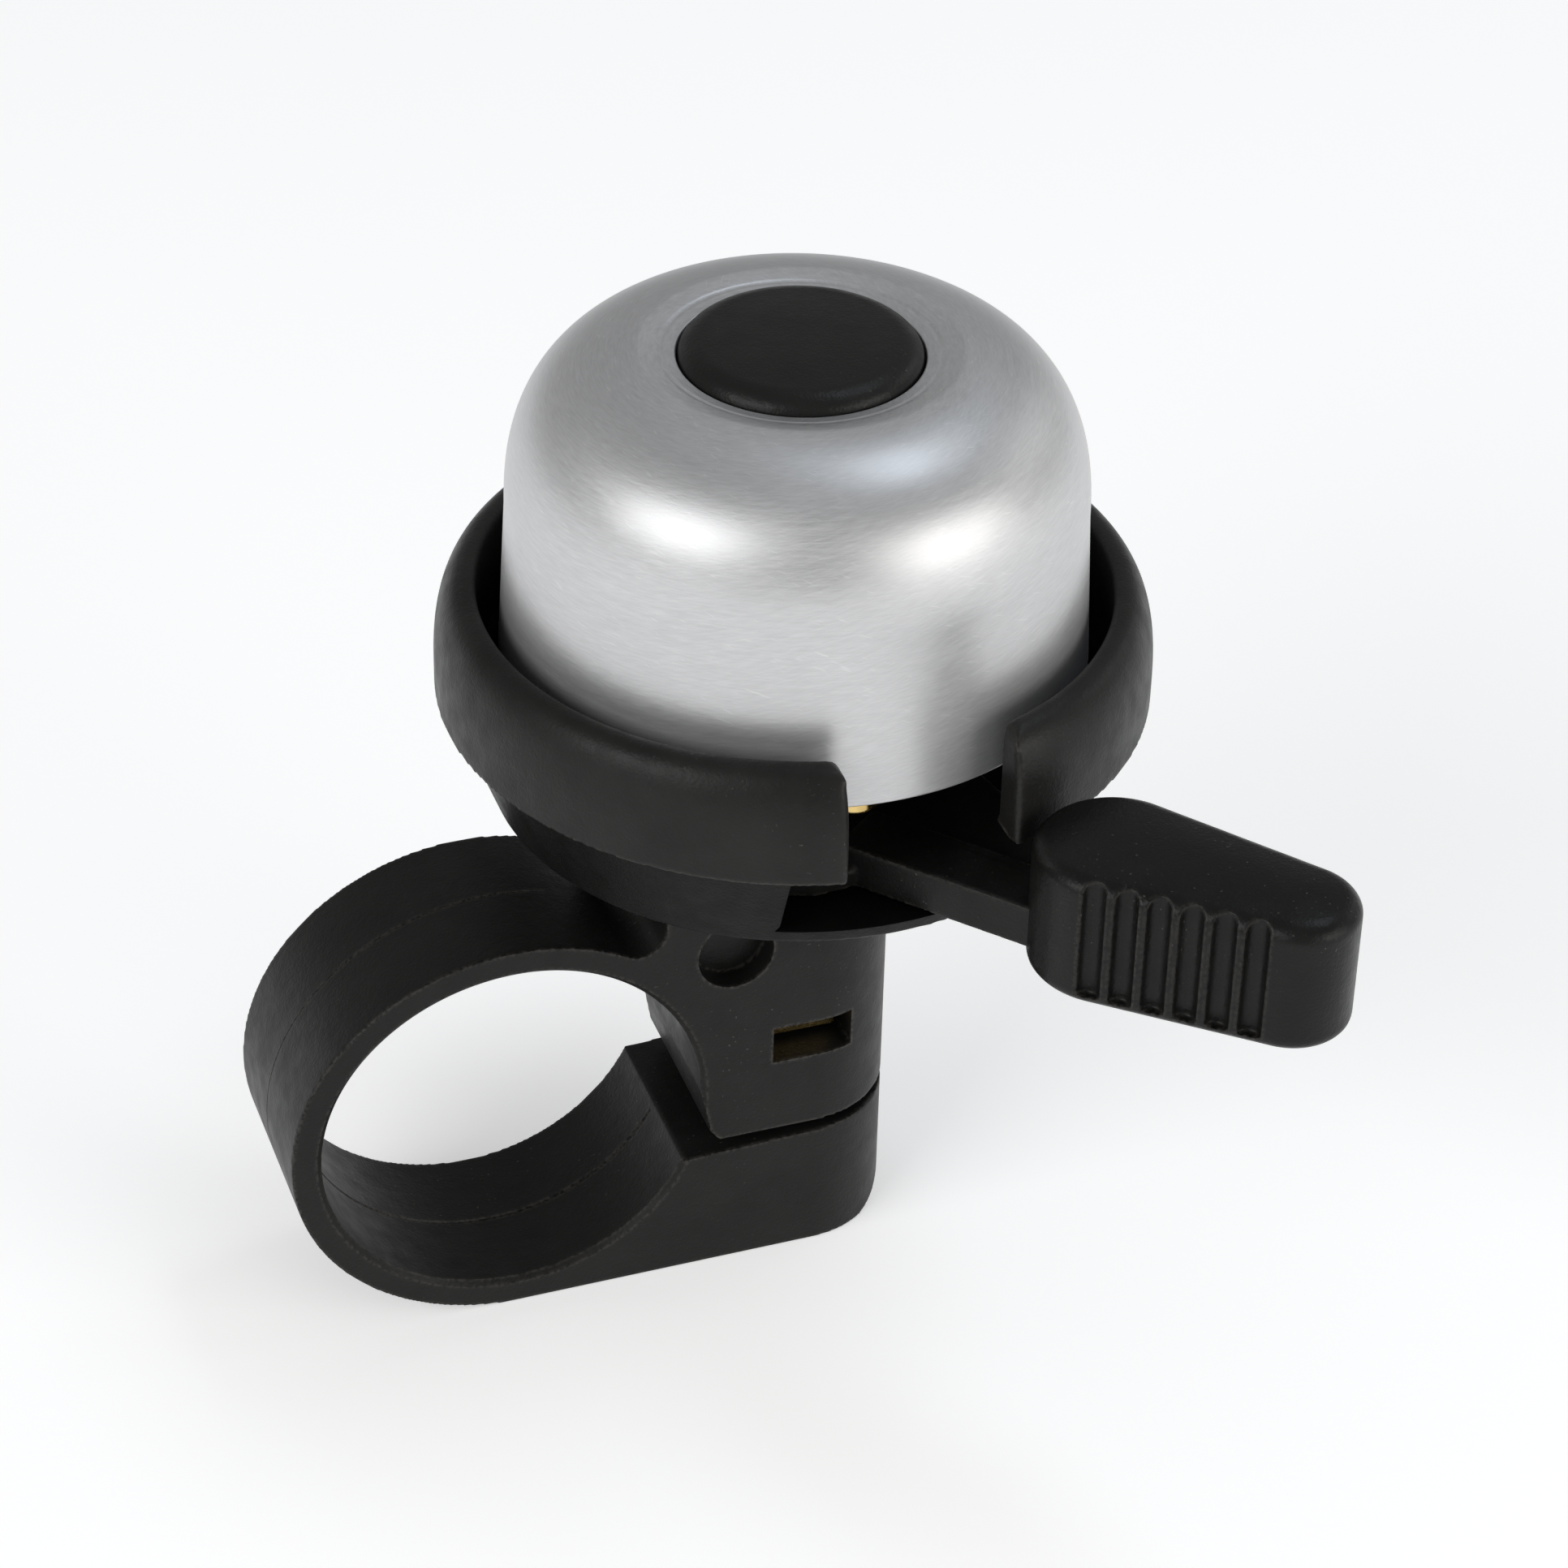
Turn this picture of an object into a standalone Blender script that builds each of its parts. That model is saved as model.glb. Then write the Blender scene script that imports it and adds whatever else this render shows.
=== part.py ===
"""Bicycle bell with a thumb lever, on a split handlebar clamp.

Metres, +Z up. The origin is on the handlebar's axis, which runs along Y, midway along the clamp.
The bell stands upright beside the bar, on the clamp's +X side.
"""

import math

import bmesh
import bpy
from mathutils import Matrix, Vector

MM = 0.001
GAP = 0.3 * MM
FAR = 60 * MM
SMALL_BEVEL = 0.4 * MM

# Clamp: a band round the handlebar that is split below its block
BORE_R = 11.66 * MM
BAND_R = 13.47 * MM
BAND_STRETCH = 1.045
CLAMP_W = 12.0 * MM
END_X = 19.2 * MM
END_R = CLAMP_W / 2
NECK_X = 9.3 * MM
BLOCK_TOP = 18.9 * MM
BLOCK_BOTTOM = -3.9 * MM
BLOCK_SIDE_X = 12.2 * MM
LUG_TOP_INNER = -5.0 * MM
LUG_TOP_OUTER = -4.5 * MM
LUG_CORNER_R = 3.0 * MM
FILLET_R = 1.6 * MM
BLOCK_LIP = 0.8 * MM
TRIM = 2 * MM

# Clamp screw, standing upright in the lug, and its nut
SCREW_X = 18.8 * MM
SCREW_R = 1.45 * MM
SCREW_HOLE_R = 1.95 * MM
SCREW_TIP = 6.6 * MM
TIP_ROOM = 1.2 * MM
SCREW_HEAD_R = 2.6 * MM
SCREW_HEAD_H = 2.0 * MM
CROSS_L = 1.6 * MM
CROSS_W = 0.3 * MM
CROSS_DEPTH = 1.1 * MM
WASHER_H = 0.5 * MM
HOLE_SIDES = 24
COUNTERBORE_R = 3.1 * MM
COUNTERBORE_TOP = -10.2 * MM
NUT_SIDE = 4.4 * MM
NUT_FRONT = 3.8 * MM
NUT_H = 2.0 * MM
NUT_SLOT_W = 5.2 * MM
NUT_SLOT_H = 2.6 * MM
NUT_SLOT_Z = 2.6 * MM
RECESS_X = 13.7 * MM
RECESS_Z = 10.2 * MM
RECESS_R = 2.4 * MM
RECESS_DEPTH = 1.6 * MM

# Bell axis, cup and collar
BELL_X = 19.0 * MM
CUP_BOTTOM = 19.2 * MM
CUP_BOTTOM_R = 18.0 * MM
CUP_TOP_R = 20.4 * MM
FLOOR_TOP = 20.2 * MM
FLOOR_R = 16.7 * MM
COLLAR_IN_R = 18.67 * MM
COLLAR_R = 21.2 * MM
COLLAR_BOTTOM = 25.5 * MM
COLLAR_SHOULDER = 27.3 * MM
COLLAR_TOP = 32.4 * MM
COLLAR_CREST_R = 19.05 * MM
COLLAR_CURVE = 2.4
COLLAR_STEP = 0.6 * MM
GAP_SILL = 0.2 * MM
COLLAR_GAP = (-3.9 * MM, 6.2 * MM)
CUP_BOSS_R = 3.3 * MM
CUP_BOSS_TOP = 24.2 * MM
WINDOW_FROM = math.radians(-111.0)
WINDOW_TO = math.radians(-17.0)
WINDOW_DEEP = 14 * MM

# Stud and what it carries
STUD_R = 1.95 * MM
STUD_FOOT = 10.0 * MM
STUD_TOP = 46.0 * MM
STUD_HOLE_R = 2.3 * MM
SLEEVE_TOP = 41.0 * MM
SEAT_WASHER_R = 5.0 * MM

# Dome
DOME_RIM = 28.0 * MM
DOME_RIM_R = 17.4 * MM
DOME_SHOULDER = 37.6 * MM
DOME_SHOULDER_R = 16.95 * MM
DOME_TOP = 47.95 * MM
DOME_WALL = 0.9 * MM
DOME_CURVE = 2.5
WELL_R = 7.45 * MM
WELL_FLOOR = 43.1 * MM
CAP_R = 7.12 * MM
CAP_EDGE = 47.95 * MM
CAP_TOP = 48.65 * MM
CAP_SKIRT_IN_R = 5.9 * MM
CAP_SKIRT_BOTTOM = 43.5 * MM
DOME_NUT_R = 4.0 * MM
DOME_NUT_H = 2.0 * MM
CAP_RIM = 0.7 * MM
CAP_CROWN = 0.1 * MM

# Lever, turning on a pin behind the stud
PIVOT = (14.0 * MM, 8.2 * MM)
LEVER_TRAVEL = math.radians(18.0)
PLATE_BOTTOM = 20.5 * MM
PLATE_TOP = 21.7 * MM
PLATE_FRONT_R = 15.4 * MM
ARM_TOP = 23.1 * MM
ARM_INNER = (17.0 * MM, -13.8 * MM)
ARM_OUTER = (24.95 * MM, -22.95 * MM)
ARM_RIM_W = 4.0 * MM
ARM_FAR = (30.6 * MM, -18.8 * MM)
PLATE_RIGHT = ((27.6 * MM, -5.5 * MM), (24.5 * MM, 3.5 * MM))
PLATE_LEFT = ((9.0 * MM, 1.0 * MM), (8.7 * MM, -5.0 * MM))
PIN_R = 1.3 * MM
PIN_HEAD_R = 2.3 * MM
PIN_HEAD_H = 1.2 * MM
PIN_TAIL_R = 1.9 * MM
PIN_TAIL_H = 0.8 * MM
PIN_PLAY = 0.15 * MM
LEVER_WASHER_H = 0.4 * MM
SPRING_WIRE_R = 0.3 * MM
SPRING_R = 3.1 * MM
SPRING_PITCH = 0.85 * MM
SPRING_TURNS = 2.5
SPRING_START = 150
SPRING_LEG = 4 * MM
BUSH_R = 2.1 * MM
PIVOT_BOSS_R = 3.1 * MM
PAD_BOTTOM = 19.4 * MM
PAD_TOP = 28.1 * MM
PAD_INNER = (29.7 * MM, -24.2 * MM)
PAD_INNER_R = 4.8 * MM
PAD_OUTER = (37.2 * MM, -32.0 * MM)
PAD_OUTER_R = 3.6 * MM
PAD_EDGE = 1.3 * MM
PAD_FOOT_EDGE = 0.5 * MM
GROOVES = 6
GROOVE_PITCH = 1.87 * MM
GROOVE_R = 0.56 * MM
GROOVE_OFFSET = 0.13 * MM
GROOVE_START = -0.17 * MM
GROOVE_FLOOR = 20.6 * MM
TONGUE_ROOT = (26.6 * MM, -19.0 * MM)
TONGUE_W = 4.0 * MM
TONGUE_BOTTOM = 20.9 * MM
TONGUE_TOP = 22.7 * MM

# Striker: a leaf spring with the hammer at its end
LEAF_ROOT = (9.7 * MM, -6.8 * MM)
LEAF_Z = (27.0 * MM, 29.2 * MM)
LEAF_T = 0.4 * MM
TAB_T = 1.4 * MM
TAB_L = 3.0 * MM
RIVET_R = 0.3 * MM
RIVET_HEAD_R = 1.1 * MM
RIVET_HEAD_H = 0.5 * MM
RIVET_AT = 0.1 * MM
RIVET_HOLE_R = 0.6 * MM
TOOL_REACH = 5 * MM
HAMMER = (17.5 * MM, -14.5 * MM)
HAMMER_R = 1.5 * MM
HAMMER_Z = (26.4 * MM, 32.4 * MM)

PLASTIC = (0.022, 0.022, 0.023, 1)
ALUMINIUM = (0.62, 0.63, 0.65, 1)
STEEL = (0.55, 0.56, 0.58, 1)
BRASS = (0.72, 0.52, 0.22, 1)
NYLON = (0.75, 0.74, 0.70, 1)


def clear_scene():
    for obj in list(bpy.data.objects):
        bpy.data.objects.remove(obj, do_unlink=True)


def new_collection(name):
    collection = bpy.data.collections.new(name)
    bpy.context.scene.collection.children.link(collection)
    return collection


def material(name, colour, roughness, metallic):
    result = bpy.data.materials.new(name)
    result.use_nodes = True
    shader = result.node_tree.nodes["Principled BSDF"]
    shader.inputs["Base Color"].default_value = colour
    shader.inputs["Roughness"].default_value = roughness
    shader.inputs["Metallic"].default_value = metallic
    return result


def add_mesh(name, mesh, place, matrix=None):
    obj = bpy.data.objects.new(name, mesh)
    place.objects.link(obj)
    if matrix is not None:
        obj.matrix_world = matrix
    return obj


def cutter(obj):
    """Turns an object into a hidden cutter."""
    for collection in list(obj.users_collection):
        collection.objects.unlink(obj)
    cutters.objects.link(obj)
    obj.hide_render = True
    obj.display_type = "WIRE"
    return obj


def boolean(obj, other, operation="DIFFERENCE"):
    modifier = obj.modifiers.new(operation.title() + "_" + other.name, "BOOLEAN")
    modifier.operation = operation
    modifier.object = other
    modifier.solver = "EXACT"


def finish(obj, colour, roughness, metallic, angle=35):
    """Bakes the modifiers, shades the round faces smooth and gives the piece its own material."""
    bpy.context.view_layer.update()
    graph = bpy.context.evaluated_depsgraph_get()
    mesh = bpy.data.meshes.new_from_object(obj.evaluated_get(graph))
    obj.modifiers.clear()
    obj.data = mesh
    mesh.materials.clear()
    mesh.materials.append(material(obj.name + "_material", colour, roughness, metallic))
    mesh.shade_smooth()
    mesh.set_sharp_from_angle(angle=math.radians(angle))
    return obj


def arc(centre, radius, start, end, steps):
    """Points along an arc, from one angle to another in degrees."""
    turns = [math.radians(start + (end - start) * i / steps) for i in range(steps + 1)]
    return [(centre[0] + radius * math.cos(t), centre[1] + radius * math.sin(t)) for t in turns]


def prism(name, outline, low, high, axis="Z"):
    """A closed outline drawn out from low to high, along Z, or along Y for an X-Z outline."""
    curve = bpy.data.curves.new(name, "CURVE")
    curve.dimensions = "2D"
    curve.fill_mode = "BOTH"
    curve.extrude = (high - low) / 2
    spline = curve.splines.new("POLY")
    spline.points.add(len(outline) - 1)
    for point, (a, b) in zip(spline.points, outline):
        point.co = (a, b, 0, 1)
    spline.use_cyclic_u = True
    flat = bpy.data.objects.new(name, curve)
    parts.objects.link(flat)
    middle = (high + low) / 2
    if axis == "Z":
        flat.matrix_world = Matrix.Translation((0, 0, middle))
    else:
        upright = Matrix.Rotation(math.pi / 2, 4, "X")
        flat.matrix_world = Matrix.Translation((0, middle, 0)) @ upright
    bpy.context.view_layer.update()
    graph = bpy.context.evaluated_depsgraph_get()
    mesh = bpy.data.meshes.new_from_object(flat.evaluated_get(graph))
    mesh.transform(flat.matrix_world)
    bpy.data.objects.remove(flat)
    solid = bmesh.new()
    solid.from_mesh(mesh)
    bmesh.ops.remove_doubles(solid, verts=solid.verts, dist=1e-6)
    bmesh.ops.recalc_face_normals(solid, faces=solid.faces)
    solid.to_mesh(mesh)
    solid.free()
    mesh.name = name
    return add_mesh(name, mesh, parts)


def box(name, low, high):
    mesh = bpy.data.meshes.new(name)
    solid = bmesh.new()
    bmesh.ops.create_cube(solid, size=1.0)
    size = [b - a for a, b in zip(low, high)]
    middle = [(a + b) / 2 for a, b in zip(low, high)]
    bmesh.ops.transform(
        solid, matrix=Matrix.Translation(middle) @ Matrix.Diagonal((*size, 1)), verts=solid.verts
    )
    solid.to_mesh(mesh)
    solid.free()
    return add_mesh(name, mesh, parts)


def cylinder(name, radius, foot, top, sides=32):
    """A round bar between two points on its axis."""
    mesh = bpy.data.meshes.new(name)
    solid = bmesh.new()
    axis = Vector(top) - Vector(foot)
    turn = Vector((0, 0, 1)).rotation_difference(axis).to_matrix().to_4x4()
    bmesh.ops.create_cone(
        solid, cap_ends=True, segments=sides, radius1=radius, radius2=radius, depth=axis.length,
        matrix=Matrix.Translation((Vector(foot) + Vector(top)) / 2) @ turn,
    )
    solid.to_mesh(mesh)
    solid.free()
    return add_mesh(name, mesh, parts)


def turned(name, profile, centre, closed=True, steps=48):
    """A profile of radius and height turned about an upright axis. It runs down its outer side."""
    mesh = bpy.data.meshes.new(name)
    shape = bmesh.new()
    points = [shape.verts.new((radius, 0, height)) for radius, height in profile]
    for first, second in zip(points, points[1:]):
        shape.edges.new((first, second))
    if closed:
        shape.edges.new((points[-1], points[0]))
    shape.to_mesh(mesh)
    shape.free()
    obj = add_mesh(name, mesh, parts, Matrix.Translation((centre[0], centre[1], 0)))
    screw = obj.modifiers.new("Turn", "SCREW")
    screw.axis = "Z"
    screw.steps = steps
    screw.render_steps = steps
    screw.use_merge_vertices = True
    screw.merge_threshold = 1e-6
    return obj


def ring(name, inner, outer, low, high, centre, steps=32):
    profile = [(inner, high), (outer, high), (outer, low), (inner, low)]
    return turned(name, profile, centre, steps=steps)


def band_arc(radius, start, end, steps):
    """An arc of the band, which is a little oval on the side away from the bell."""
    return [
        (x * BAND_STRETCH if x < 0 else x, z) for x, z in arc((0, 0), radius, start, end, steps)
    ]


def end_rounding(name):
    """The clamp's outline seen from above, with a round end at the bell's side."""
    half = CLAMP_W / 2
    outline = [(-BAND_R * BAND_STRETCH - TRIM, -half)] + arc((END_X, 0), END_R, -90, 90, 16)
    outline += [(-BAND_R * BAND_STRETCH - TRIM, half)]
    return cutter(prism(name, outline, -BAND_R * BAND_STRETCH - TRIM, BLOCK_TOP + TRIM))


def clamp_body():
    """The block under the bell, with the band's upper half."""
    end = END_X + END_R
    split = math.degrees(math.asin(GAP / 2 / BAND_R))
    wall = NECK_X - FILLET_R
    reach = BAND_R + FILLET_R
    fillet_z = math.sqrt(reach**2 - wall**2)
    touch = math.degrees(math.atan2(fillet_z, wall))
    outline = band_arc(BAND_R, 180 - split, touch, 22)
    outline += arc((wall, fillet_z), FILLET_R, touch - 180, 0, 5)[1:]
    outline += [(NECK_X, BLOCK_TOP), (end, BLOCK_TOP), (end, BLOCK_BOTTOM + SMALL_BEVEL)]
    outline += [(end - SMALL_BEVEL, BLOCK_BOTTOM), (BLOCK_SIDE_X + BLOCK_LIP, BLOCK_BOTTOM)]
    outline += [(BLOCK_SIDE_X, BLOCK_BOTTOM + BLOCK_LIP)]
    outline += band_arc(BORE_R, 0, 180 - split, 30)
    body = prism("clamp_body", outline, -CLAMP_W / 2, CLAMP_W / 2, "Y")
    boolean(body, end_rounding("block_end"), "INTERSECT")

    half = NUT_SLOT_W / 2
    slot = box(
        "nut_slot",
        (SCREW_X - half, -CLAMP_W, NUT_SLOT_Z - NUT_SLOT_H / 2),
        (SCREW_X + half, half, NUT_SLOT_Z + NUT_SLOT_H / 2),
    )
    recess = cylinder(
        "round_recess", RECESS_R, (RECESS_X, -CLAMP_W, RECESS_Z),
        (RECESS_X, RECESS_DEPTH - CLAMP_W / 2, RECESS_Z),
    )
    screw_hole = cylinder(
        "nut_hole", SCREW_HOLE_R, (SCREW_X, 0, -FAR), (SCREW_X, 0, SCREW_TIP + TIP_ROOM), HOLE_SIDES
    )
    stud_hole = cylinder(
        "stud_hole", STUD_HOLE_R, (BELL_X, 0, STUD_FOOT - GAP), (BELL_X, 0, FAR), HOLE_SIDES
    )
    for tool in (slot, recess, screw_hole, stud_hole):
        boolean(body, cutter(tool))
    return finish(body, PLASTIC, 0.5, 0)


def clamp_lug():
    """The band's lower half and the lug that the screw draws up to the block."""
    end = END_X + END_R
    split = math.degrees(math.asin(GAP / 2 / BAND_R))
    lip = -math.degrees(math.asin(-LUG_TOP_INNER / BORE_R))
    corner = (end - LUG_CORNER_R, -BAND_R + LUG_CORNER_R)
    outline = band_arc(BAND_R, 180 + split, 270, 18)
    outline += arc(corner, LUG_CORNER_R, -90, 0, 6)
    outline += [(end, LUG_TOP_OUTER)]
    outline += band_arc(BORE_R, lip, split - 180, 30)
    lug = prism("clamp_lug", outline, -CLAMP_W / 2, CLAMP_W / 2, "Y")
    boolean(lug, end_rounding("lug_end"), "INTERSECT")
    hole = cylinder("lug_hole", SCREW_HOLE_R, (SCREW_X, 0, -FAR), (SCREW_X, 0, FAR), HOLE_SIDES)
    seat = cylinder(
        "counterbore", COUNTERBORE_R, (SCREW_X, 0, -FAR), (SCREW_X, 0, COUNTERBORE_TOP)
    )
    for tool in (hole, seat):
        boolean(lug, cutter(tool))
    return finish(lug, PLASTIC, 0.5, 0)


def clamp_fasteners():
    """The screw from below, its washer and the nut in the block's slot."""
    axis = (SCREW_X, 0)
    washer_top = COUNTERBORE_TOP - GAP
    ring("clamp_washer", SCREW_R + GAP, SCREW_HEAD_R, washer_top - WASHER_H, washer_top, axis)
    head_top = washer_top - WASHER_H - GAP
    bottom = head_top - SCREW_HEAD_H
    profile = [
        (0, SCREW_TIP), (SCREW_R - SMALL_BEVEL, SCREW_TIP), (SCREW_R, SCREW_TIP - SMALL_BEVEL),
        (SCREW_R, head_top), (SCREW_HEAD_R, head_top), (SCREW_HEAD_R, bottom + SMALL_BEVEL),
        (SCREW_HEAD_R - SMALL_BEVEL, bottom), (0, bottom),
    ]
    screw = turned("clamp_screw", profile, axis, closed=False, steps=24)
    for name, half_x, half_y in (("cross_a", CROSS_L, CROSS_W), ("cross_b", CROSS_W, CROSS_L)):
        low = (SCREW_X - half_x, -half_y, bottom - TRIM)
        high = (SCREW_X + half_x, half_y, bottom + CROSS_DEPTH)
        boolean(screw, cutter(box(name, low, high)))
    half = NUT_SIDE / 2
    nut = box(
        "clamp_nut",
        (SCREW_X - half, -NUT_FRONT, NUT_SLOT_Z - NUT_H / 2),
        (SCREW_X + half, half, NUT_SLOT_Z + NUT_H / 2),
    )
    thread = cylinder("nut_thread", SCREW_R + GAP, (SCREW_X, 0, 0), (SCREW_X, 0, FAR), HOLE_SIDES)
    boolean(nut, cutter(thread))
    finish(nut, BRASS, 0.3, 1)
    finish(screw, STEEL, 0.3, 1)
    finish(bpy.data.objects["clamp_washer"], STEEL, 0.35, 1)


def base_cup():
    """The cup under the dome, with a floor, a stud boss and the collar round the dome's rim."""
    wall_in = COLLAR_IN_R
    steps = 7
    outer = []
    for i in range(steps + 1):
        turn = math.pi / 2 * (1 - i / steps)
        outer.append((
            COLLAR_CREST_R + (COLLAR_R - COLLAR_CREST_R) * math.cos(turn) ** (2 / COLLAR_CURVE),
            COLLAR_SHOULDER + (COLLAR_TOP - COLLAR_SHOULDER) * math.sin(turn) ** (2 / COLLAR_CURVE),
        ))
    profile = outer + [
        (COLLAR_R, COLLAR_BOTTOM), (CUP_TOP_R, COLLAR_BOTTOM), (CUP_BOTTOM_R, CUP_BOTTOM),
        (STUD_HOLE_R, CUP_BOTTOM), (STUD_HOLE_R, CUP_BOSS_TOP), (CUP_BOSS_R, CUP_BOSS_TOP),
        (CUP_BOSS_R, FLOOR_TOP), (FLOOR_R, FLOOR_TOP), (wall_in, COLLAR_BOTTOM + COLLAR_STEP),
        (wall_in, COLLAR_TOP - COLLAR_CREST_R + wall_in),
    ]
    cup = turned("base_cup", profile, (BELL_X, 0), steps=60)
    gap = box(
        "collar_gap",
        (BELL_X + COLLAR_GAP[0], -FAR, COLLAR_BOTTOM - GAP_SILL),
        (BELL_X + COLLAR_GAP[1], -CUP_BOSS_R * 2, FAR),
    )
    middle = (WINDOW_FROM + WINDOW_TO) / 2
    window = prism(
        "lever_window",
        [
            (BELL_X + r * math.cos(turn), r * math.sin(turn))
            for r, turn in (
                (WINDOW_DEEP, WINDOW_FROM), (FAR, WINDOW_FROM), (2 * FAR, middle),
                (FAR, WINDOW_TO), (WINDOW_DEEP, WINDOW_TO), (WINDOW_DEEP, middle),
            )
        ],
        FLOOR_TOP, COLLAR_BOTTOM,
    )
    pin_hole = cylinder("pin_hole", PIN_R + GAP, (*PIVOT, 0), (*PIVOT, FAR), HOLE_SIDES)
    for tool in (gap, window, pin_hole):
        boolean(cup, cutter(tool))
    return finish(cup, PLASTIC, 0.5, 0)


def dome_outline(inset):
    """Points down the dome's outer side, from the well to the rim, moved inwards by inset."""
    rise = DOME_TOP - DOME_SHOULDER - inset
    run = DOME_SHOULDER_R - WELL_R - inset
    points = []
    steps = 10
    for i in range(steps + 1):
        turn = math.pi / 2 * (1 - i / steps)
        points.append((
            WELL_R + run * math.cos(turn) ** (2 / DOME_CURVE),
            DOME_SHOULDER + rise * math.sin(turn) ** (2 / DOME_CURVE),
        ))
    points.append((DOME_RIM_R - inset, DOME_RIM))
    return points


def dome():
    """The aluminium bell, with a stepped well in its crown for the nut and cap."""
    outside = dome_outline(0)
    inside = dome_outline(DOME_WALL)
    well_in = WELL_R + DOME_WALL
    profile = [(STUD_HOLE_R, WELL_FLOOR), (WELL_R, WELL_FLOOR)] + outside
    profile += [point for point in reversed(inside) if point[0] > well_in]
    profile += [
        (well_in, DOME_TOP - 1.15 * DOME_WALL), (well_in, WELL_FLOOR - DOME_WALL),
        (STUD_HOLE_R, WELL_FLOOR - DOME_WALL),
    ]
    return finish(turned("dome", profile, (BELL_X, 0)), ALUMINIUM, 0.35, 1)


def dome_stack():
    """Stud, sleeve, washers, nut and cap that hold the dome, all on its axis."""
    axis = (BELL_X, 0)
    stud = [
        (0, STUD_TOP), (STUD_R - SMALL_BEVEL, STUD_TOP), (STUD_R, STUD_TOP - SMALL_BEVEL),
        (STUD_R, STUD_FOOT), (0, STUD_FOOT),
    ]
    finish(turned("dome_stud", stud, axis, closed=False, steps=24), STEEL, 0.3, 1)
    sleeve = ring("post_sleeve", STUD_HOLE_R, CUP_BOSS_R, CUP_BOSS_TOP + GAP, SLEEVE_TOP, axis, 24)
    finish(sleeve, NYLON, 0.5, 0)
    low = SLEEVE_TOP + GAP
    high = WELL_FLOOR - DOME_WALL - GAP
    seat = ring("dome_seat_washer", STUD_HOLE_R, SEAT_WASHER_R, low, high, axis)
    finish(seat, NYLON, 0.6, 0)
    low = WELL_FLOOR + GAP
    top = ring("dome_top_washer", STUD_HOLE_R, SEAT_WASHER_R, low, low + WASHER_H, axis)
    finish(top, STEEL, 0.35, 1)
    low += WASHER_H + GAP
    nut = cylinder("dome_nut", DOME_NUT_R, (*axis, low), (*axis, low + DOME_NUT_H), 6)
    thread = cylinder("dome_nut_thread", STUD_HOLE_R, (*axis, 0), (*axis, FAR), HOLE_SIDES)
    boolean(nut, cutter(thread))
    finish(nut, STEEL, 0.3, 1)


def dome_cap():
    """The low button that covers the nut and plugs the well."""
    crown = [
        (CAP_R - CAP_RIM, CAP_EDGE + CAP_RIM / 2), (CAP_R - CAP_RIM / 3, CAP_EDGE + CAP_RIM / 4),
        (CAP_R, CAP_EDGE - CAP_RIM / 3),
    ]
    under = STUD_TOP + 2 * GAP
    profile = [(0, CAP_TOP), (CAP_R / 2, CAP_TOP - CAP_CROWN)] + crown + [
        (CAP_R, CAP_SKIRT_BOTTOM), (CAP_SKIRT_IN_R, CAP_SKIRT_BOTTOM),
        (CAP_SKIRT_IN_R, under), (0, under),
    ]
    return finish(turned("dome_cap", profile, (BELL_X, 0), closed=False), PLASTIC, 0.45, 0)


def polar(centre, radius, angle):
    turn = math.radians(angle)
    return centre[0] + radius * math.cos(turn), centre[1] + radius * math.sin(turn)


def lever_plate():
    """The lever's plate, a fan from the pin round the stud boss, and the arm it ends in."""
    bell = (BELL_X, 0)
    inner, outer = Vector(ARM_INNER), Vector(ARM_OUTER)
    outline = [polar(PIVOT, PIVOT_BOSS_R, a) for a in range(0, 181, 30)] + list(PLATE_LEFT)
    outline += [polar(bell, PLATE_FRONT_R, a) for a in (-128, -120, -112, -104)]
    outline += [tuple(inner.lerp(outer, 0.1)), ARM_OUTER, ARM_FAR, *PLATE_RIGHT]
    lever = prism("lever_arm", outline, PLATE_BOTTOM, PLATE_TOP)

    along = (outer - inner).normalized()
    side = Vector((-along.y, along.x)) * ARM_RIM_W
    rim = [inner, outer, outer + side, inner + side]
    rib = prism("lever_rib", [tuple(p) for p in rim], PLATE_BOTTOM, ARM_TOP)

    inner = Vector(PAD_INNER)
    tip = inner.lerp(Vector(PAD_OUTER), 0.25)
    tongue = bar("lever_tongue", Vector(TONGUE_ROOT), tip, TONGUE_W, TONGUE_BOTTOM, TONGUE_TOP)
    boolean(lever, cutter(rib), "UNION")
    room = cylinder("pad_room", PAD_INNER_R + GAP, (*PAD_INNER, 0), (*PAD_INNER, FAR), 40)
    boolean(lever, cutter(room))
    for piece in (tongue, striker_tab()):
        boolean(lever, cutter(piece), "UNION")

    reach = (Vector(bell) - Vector(PIVOT)).length
    start = math.degrees(math.atan2(-PIVOT[1], BELL_X - PIVOT[0]))
    end = start - math.degrees(LEVER_TRAVEL)
    half = CUP_BOSS_R + 2 * GAP
    kidney = arc(PIVOT, reach + half, start, end, 6)
    kidney += arc(polar(PIVOT, reach, end), half, end, end - 180, 8)[1:-1]
    kidney += arc(PIVOT, reach - half, end, start, 6)
    kidney += arc(polar(PIVOT, reach, start), half, start + 180, start, 8)[1:-1]
    slot = prism("boss_slot", kidney, 0, FAR)
    hole = cylinder("bush_hole", BUSH_R + GAP, (*PIVOT, 0), (*PIVOT, FAR), HOLE_SIDES)
    for tool in (slot, hole):
        boolean(lever, cutter(tool))
    return finish(lever, PLASTIC, 0.5, 0)


def bar(name, start, end, width, low, high):
    """A square bar between two points seen from above."""
    side = (end - start).normalized().orthogonal() * width / 2
    outline = [start + side, end + side, end - side, start - side]
    return prism(name, [tuple(p) for p in outline], low, high)


def leaf_frame():
    """The leaf's root, its direction towards the hammer and its outward normal."""
    root = Vector(LEAF_ROOT)
    along = (Vector(HAMMER) - root).normalized()
    return root, along, Vector((along.y, -along.x))


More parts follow.
